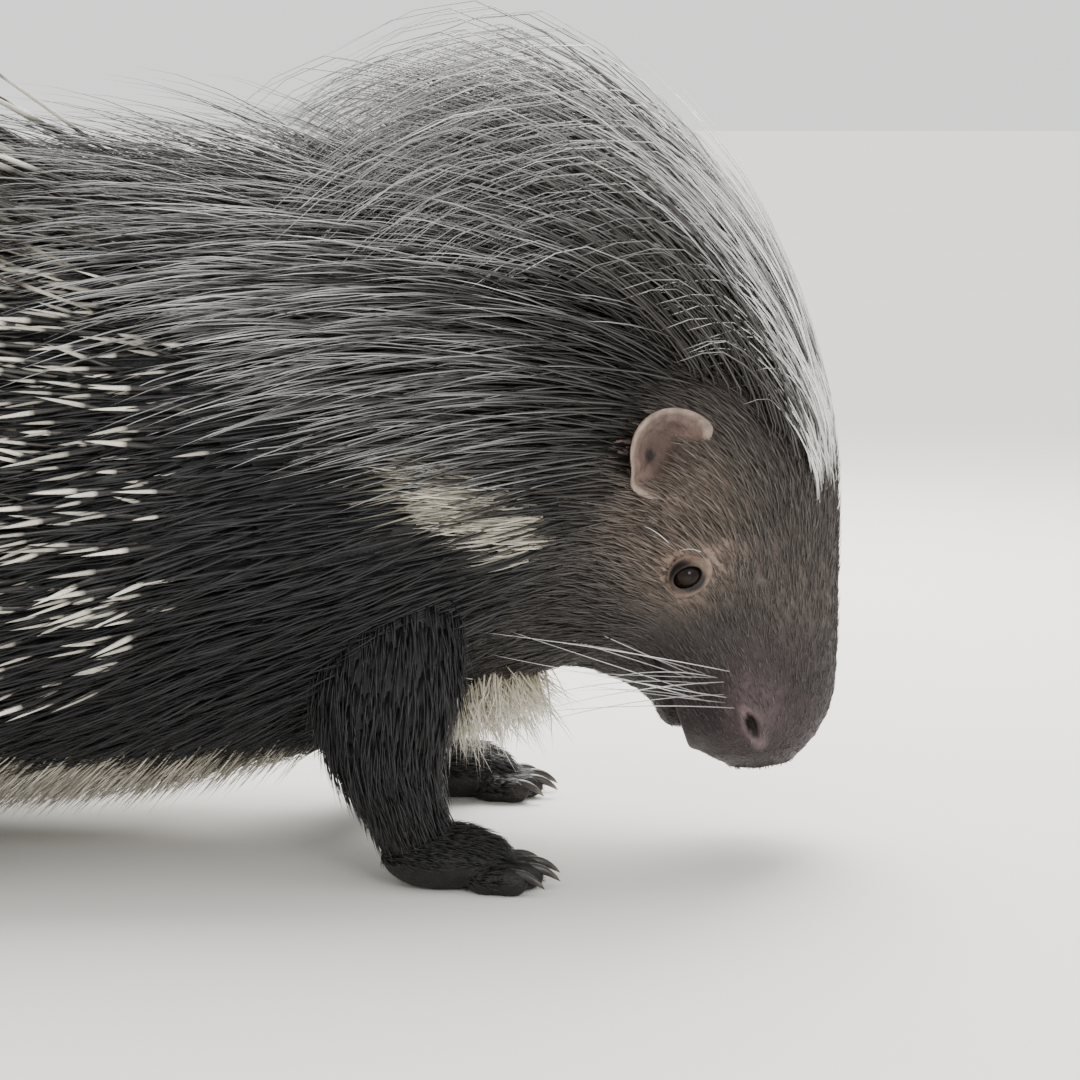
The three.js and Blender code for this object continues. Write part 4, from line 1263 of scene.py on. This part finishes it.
# %% long quills
TALLEST, QUILLS_START, QUILLS_LONG = 398.0, 0.69, 0.21
share, angle, point, back, out, uv = roots(480, lambda p, s, a: (
    smooth(s, 0.69, 0.71) * (1 - smooth(s, 0.88, 0.92))
    * smooth(np.sin(a) - 0.3 * (1 - smooth(s, 0.7, 0.78)), 0.42, 0.62)))
n = len(share)
down = np.clip((share - QUILLS_START) / QUILLS_LONG, 0, 1)
length = np.interp(down, [0, 0.5, 1], [235, 270, 170]) * vary(n, 0.72, 1.04)
lift = np.interp(down, [0, 1], [0.52, 0.5]) + rng.normal(0, 0.06, n)
heading = lay(back, out, lift, rng.normal(0, 0.05, n))
bend = np.column_stack([np.zeros(n), np.zeros(n), -12 / length])
thick = vary(n, 1.5, 2.6) * (0.65 + 0.35 * smooth(down, 0.05, 0.4))
paths = bowed(point, heading, bend, length, 10, 6.0)
tip_height, too_high = paths[:, -1, 2], np.clip(paths[:, -1, 2] - TALLEST, 0, None)
above_root = paths[..., 2] - point[:, None, 2]
paths[..., 2] -= above_root * too_high[:, None] / (tip_height - point[:, 2])[:, None]
strands("long_quills", paths, SIDEWAYS, thick, thick, quill_taper, 6, marking(point), uv, QUILL)

# %% [markdown]
# Flank and rump have short quills with thick pale ends, which read as flecks on the black coat.

# %% short quills
share, angle, point, back, out, uv = roots(3200, lambda p, s, a: (
    smooth(s, 0.665, 0.73) * (1 - smooth(s, 0.95, 0.97)) * smooth(np.sin(a), -0.7, -0.15)))
n = len(share)
length = vary(n, 34, 78) * (0.6 + 0.4 * smooth(share, 0.68, 0.84))
heading = lay(back, out, vary(n, 0.2, 0.55), rng.normal(0, 0.12, n), 0.06)
strands("short_quills", bowed(point, heading, -out * 0.06, length, 6, 5.0), SIDEWAYS,
        vary(n, 0.9, 1.7), vary(n, 0.9, 1.7), quill_taper, 5, marking(point), uv, SPINE)

# %% [markdown]
# Limbs, feet and tail have their own rings, so their hair is drawn on those. Roots that fall
# inside the body are left out: a tree of the skin's faces tells how far a root is from it.

# %% roots on limbs and feet
tree_of_skin = BVHTree.FromObject(skin, bpy.context.evaluated_depsgraph_get())
print("faces to root on", len(skin.data.polygons))


def on_surface(points, within=4.0):
    keep = np.zeros(len(points), bool)
    for i, p in enumerate(row(points)):
        keep[i] = tree_of_skin.find_nearest(Vector(p))[3] < within / 1000
    return keep


def limb_roots(place, count, low, high, corner):
    """Places, ways along, ways out and UVs of roots on a form of the limbs."""
    count = int(count * DENSITY)
    share, angle = vary(count, low, high), vary(count, 0, 2 * math.pi)
    point = place(share, angle)
    ahead = unit(place(share + 0.01, angle) - place(share - 0.01, angle))
    around = place(share, angle + 0.02) - place(share, angle - 0.02)
    out = unit(np.cross(ahead, around))
    centre = place(share, angle + math.pi)
    out *= np.sign(np.sum(out * (point - centre), axis=1))[:, None]
    uv = np.column_stack([corner + share * 0.1, 0.75 + angle / (2 * math.pi) * 0.18])
    keep = on_surface(point)
    return point[keep], ahead[keep], out[keep], uv[keep]


# %% [markdown]
# The legs are covered in short black bristles that point down to the feet.

# %% hair of the limbs
LIMBS = [(FORELEG, 1, 2600), (FORELEG, -1, 2600), (HINDLEG, 1, 3000), (HINDLEG, -1, 3000),
         (TAIL, 1, 900)]
found = []
for i, (rings, side, count) in enumerate(LIMBS):
    found.append(limb_roots(limb_place(rings, side), count, 0.03, 0.9, 0.02 + 0.12 * i))
point, ahead, out, uv = (np.concatenate(part) for part in zip(*found))
n = len(point)
length = vary(n, 14, 30) * (0.6 + 0.4 * smooth(point[:, 2], 20, 80))
heading = lay(ahead, out, vary(n, 0.15, 0.5), vary(n, -0.15, 0.15))
paths = bowed(point, heading, -out * 0.13, length, 3, 1.5)
paths[..., 2] = np.maximum(paths[..., 2], 1.0)
strands("limb_hair", paths, np.cross(heading, out), vary(n, 0.5, 0.85), 0.25, hair_taper, 3,
        marking(point), uv, BRISTLE)

# %% [markdown]
# The feet have short dark fur that points to the toes. Roots are drawn on the same ellipsoids that
# made the palm and toes, and only on top, because the soles are bare.

# %% fur on the feet
TO_TOES = np.array([1.0, 0, -0.15])
found = []
for i, (foot, side) in enumerate([(FOREFOOT, 1), (FOREFOOT, -1), (HINDFOOT, 1), (HINDFOOT, -1)]):
    forms = [(palm_of(foot, side), 2400)]
    for start, toe_way, reach, fan in toes_of(foot, side):
        radii = [reach * 0.6, foot["radius"], foot["radius"]]
        forms.append((ellipsoid(start + toe_way * reach * 0.45, radii, fan), 420))
    for form, count in forms:
        point, _, out, uv = limb_roots(form, count, 0.04, 0.96, 0.64 + 0.08 * i)
        found.append((point, out, uv))
point, out, uv = (np.concatenate(part) for part in zip(*found))
keep = (out[:, 2] > -0.1) & (point[:, 2] > 3)
point, out, uv = point[keep], out[keep], uv[keep]
n = len(point)
ahead = unit(TO_TOES - out * (out @ TO_TOES)[:, None])
heading = lay(ahead, out, vary(n, 0.15, 0.4), vary(n, -0.15, 0.15))
paths = bowed(point, heading, -out * 0.14, vary(n, 5, 10), 2, 0.8)
paths[..., 2] = np.maximum(paths[..., 2], 0.8)
strands("foot_fur", paths, np.cross(heading, out), vary(n, 0.35, 0.6), 0.2, hair_taper, 3,
        marking(point), uv, BRISTLE)

# %% [markdown]
# The tail ends in hollow quills that rattle, narrow at the root and wide at the end. They are
# strands of seven sides with a taper of their own.

# %% quills of the tail
RATTLE_ALONG, RATTLE_SIZE = [0, 0.3, 0.4, 0.9, 1], [0.35, 0.4, 1.1, 1.2, 0.7]
n = int(60 * max(DENSITY, 0.5))
turn, spread = vary(n, 0, 2 * math.pi), vary(n, 0.05, 0.42)
heading = unit(np.column_stack([-np.ones(n), np.cos(turn) * spread, np.sin(turn) * spread - 0.3]))
start = np.array([-334, 0, 98]) + np.column_stack([vary(n, -8, 14), vary(n, -5, 5), vary(n, -5, 5)])
paths = bowed(start, heading, np.zeros((n, 3)), vary(n, 32, 46), 6)
spots = np.column_stack([vary(n, 0.02, 0.1), vary(n, 0.95, 0.99)])
strands("rattle_quills", paths, SIDEWAYS, 1.5, 1.5,
        lambda t: np.interp(t, RATTLE_ALONG, RATTLE_SIZE), 7, [0, 0, 0], spots, RATTLE)

# %% [markdown]
# Whiskers sweep back from the muzzle, and a few lashes stand over each eye. Each is a thin, tapered
# strand that droops by its own amount.

# %% whiskers and lashes
WHISKER_HALF = 0.24
found = []
for side in (1, -1):
    for i in range(15):
        x, z = 262 - 20 * rng.random(), 60 + 26 * rng.random()
        share, angle, spot = skin_at(x, z)
        length = rng.uniform(45, 135)
        t = np.linspace(0, 1, 11)[:, None]
        heading = unit(np.array([-1.1, rng.uniform(0.15, 0.6), rng.uniform(-0.05, 0.6)]))
        droop = np.array([-0.05, -0.12, rng.uniform(-0.3, 0.05)])
        found.append((spot - heading * 2 + (heading * t + droop * t * t) * length) * [1, side, 1])
    for i in range(4):
        spot = EYE + [rng.uniform(-8, 12), 0, rng.uniform(8, 13)]
        t = np.linspace(0, 1, 11)[:, None]
        heading = unit(np.array([-0.6, 0.6, 0.7]) + rng.normal(0, 0.15, 3))
        lash = spot + heading * t * rng.uniform(20, 48) - np.array([0, 0, 8.0]) * t * t
        found.append(lash * [1, side, 1])
paths = np.array(found)
n = len(paths)
spots = np.column_stack([np.linspace(0.12, 0.2, n), np.full(n, 0.97)])
strands("whiskers", paths, [0.1, 1.0, 0.2], WHISKER_HALF, WHISKER_HALF, hair_taper, 5, [0, 0, 0],
        spots, WHISKER)

# %% [markdown]
# The stage is a pale, matt floor with a hardly visible cloudiness of 300 mm.

# %% floor
CLOUD_MM, DARKER = 300, 0.97


def floor_material():
    made, tree, shader = material("pale_floor", 0.9)
    place = add(tree, "ShaderNodeTexCoord").outputs["Object"]
    cloud = add(tree, "ShaderNodeTexNoise", {"Scale": 1000 / CLOUD_MM, "Detail": 2.0},
                {"Vector": place})
    pale = linear("#e4e2dd")
    colour = add(tree, "ShaderNodeValToRGB", links={"Fac": cloud.outputs["Fac"]},
                 stops=[(0.3, tuple(pale * DARKER)), (0.7, tuple(pale))])
    tree.links.new(colour.outputs["Color"], shader.inputs["Base Color"])
    return made


bpy.ops.mesh.primitive_plane_add(size=60, location=(0, 0, 0))
floor = bpy.context.active_object
floor.name = "floor"
floor.data.materials.append(floor_material())
print("floor", floor.dimensions.x, "m wide")

# %% [markdown]
# The light is a plain bright studio: an even pale surround, a broad high sun for soft shadows, a
# lamp from behind for the bright edge of the crest, and a weak one from the front that fills the
# face.

# %% lights
TARGET = np.array([178.0, 0.0, 135.0])
world = bpy.data.worlds.new("studio")
bpy.context.scene.world = world
world.use_nodes = True
surround = world.node_tree.nodes["Background"]
surround.inputs["Color"].default_value = (0.88, 0.88, 0.87, 1)
surround.inputs["Strength"].default_value = 1.5


def light(name, kind, energy, aim, **settings):
    """A lamp that shines along a way, given in any unit."""
    data = bpy.data.lights.new(name, kind)
    data.energy = energy
    for setting, value in settings.items():
        setattr(data, setting, value)
    made = bpy.data.objects.new(name, data)
    bpy.context.scene.collection.objects.link(made)
    made.rotation_euler = Vector(aim).to_track_quat("-Z", "Y").to_euler()
    print(name, kind, energy)
    return made


light("high_sun", "SUN", 3.0, (0.1, -0.35, -1), angle=math.radians(35))
for name, place, size, power, colour in (
        ("back_edge", [400, 900, 1000], 0.8, 30, (1.0, 0.98, 0.95)),
        ("fill", [650, -1500, 800], 0.5, 9, (1.0, 0.98, 0.96))):
    lamp = light(name, "AREA", power, row(TARGET) - row(place), size=size, color=colour)
    lamp.location = row(place)

# %% [markdown]
# The camera looks at the shoulder from the animal's right side, a little from above, through a
# long lens, as the photo does.

# %% camera
DISTANCE, RAISE = 1400, math.radians(8)
data = bpy.data.cameras.new("camera")
data.sensor_width = 36
data.lens = 105
data.clip_end = 50
camera = bpy.data.objects.new("camera", data)
bpy.context.scene.collection.objects.link(camera)
camera.location = row(TARGET + [0, -DISTANCE * math.cos(RAISE), DISTANCE * math.sin(RAISE)])
camera.rotation_euler = (math.pi / 2 - RAISE, 0, 0)
bpy.context.scene.camera = camera
print("camera at", [round(v, 2) for v in camera.location])
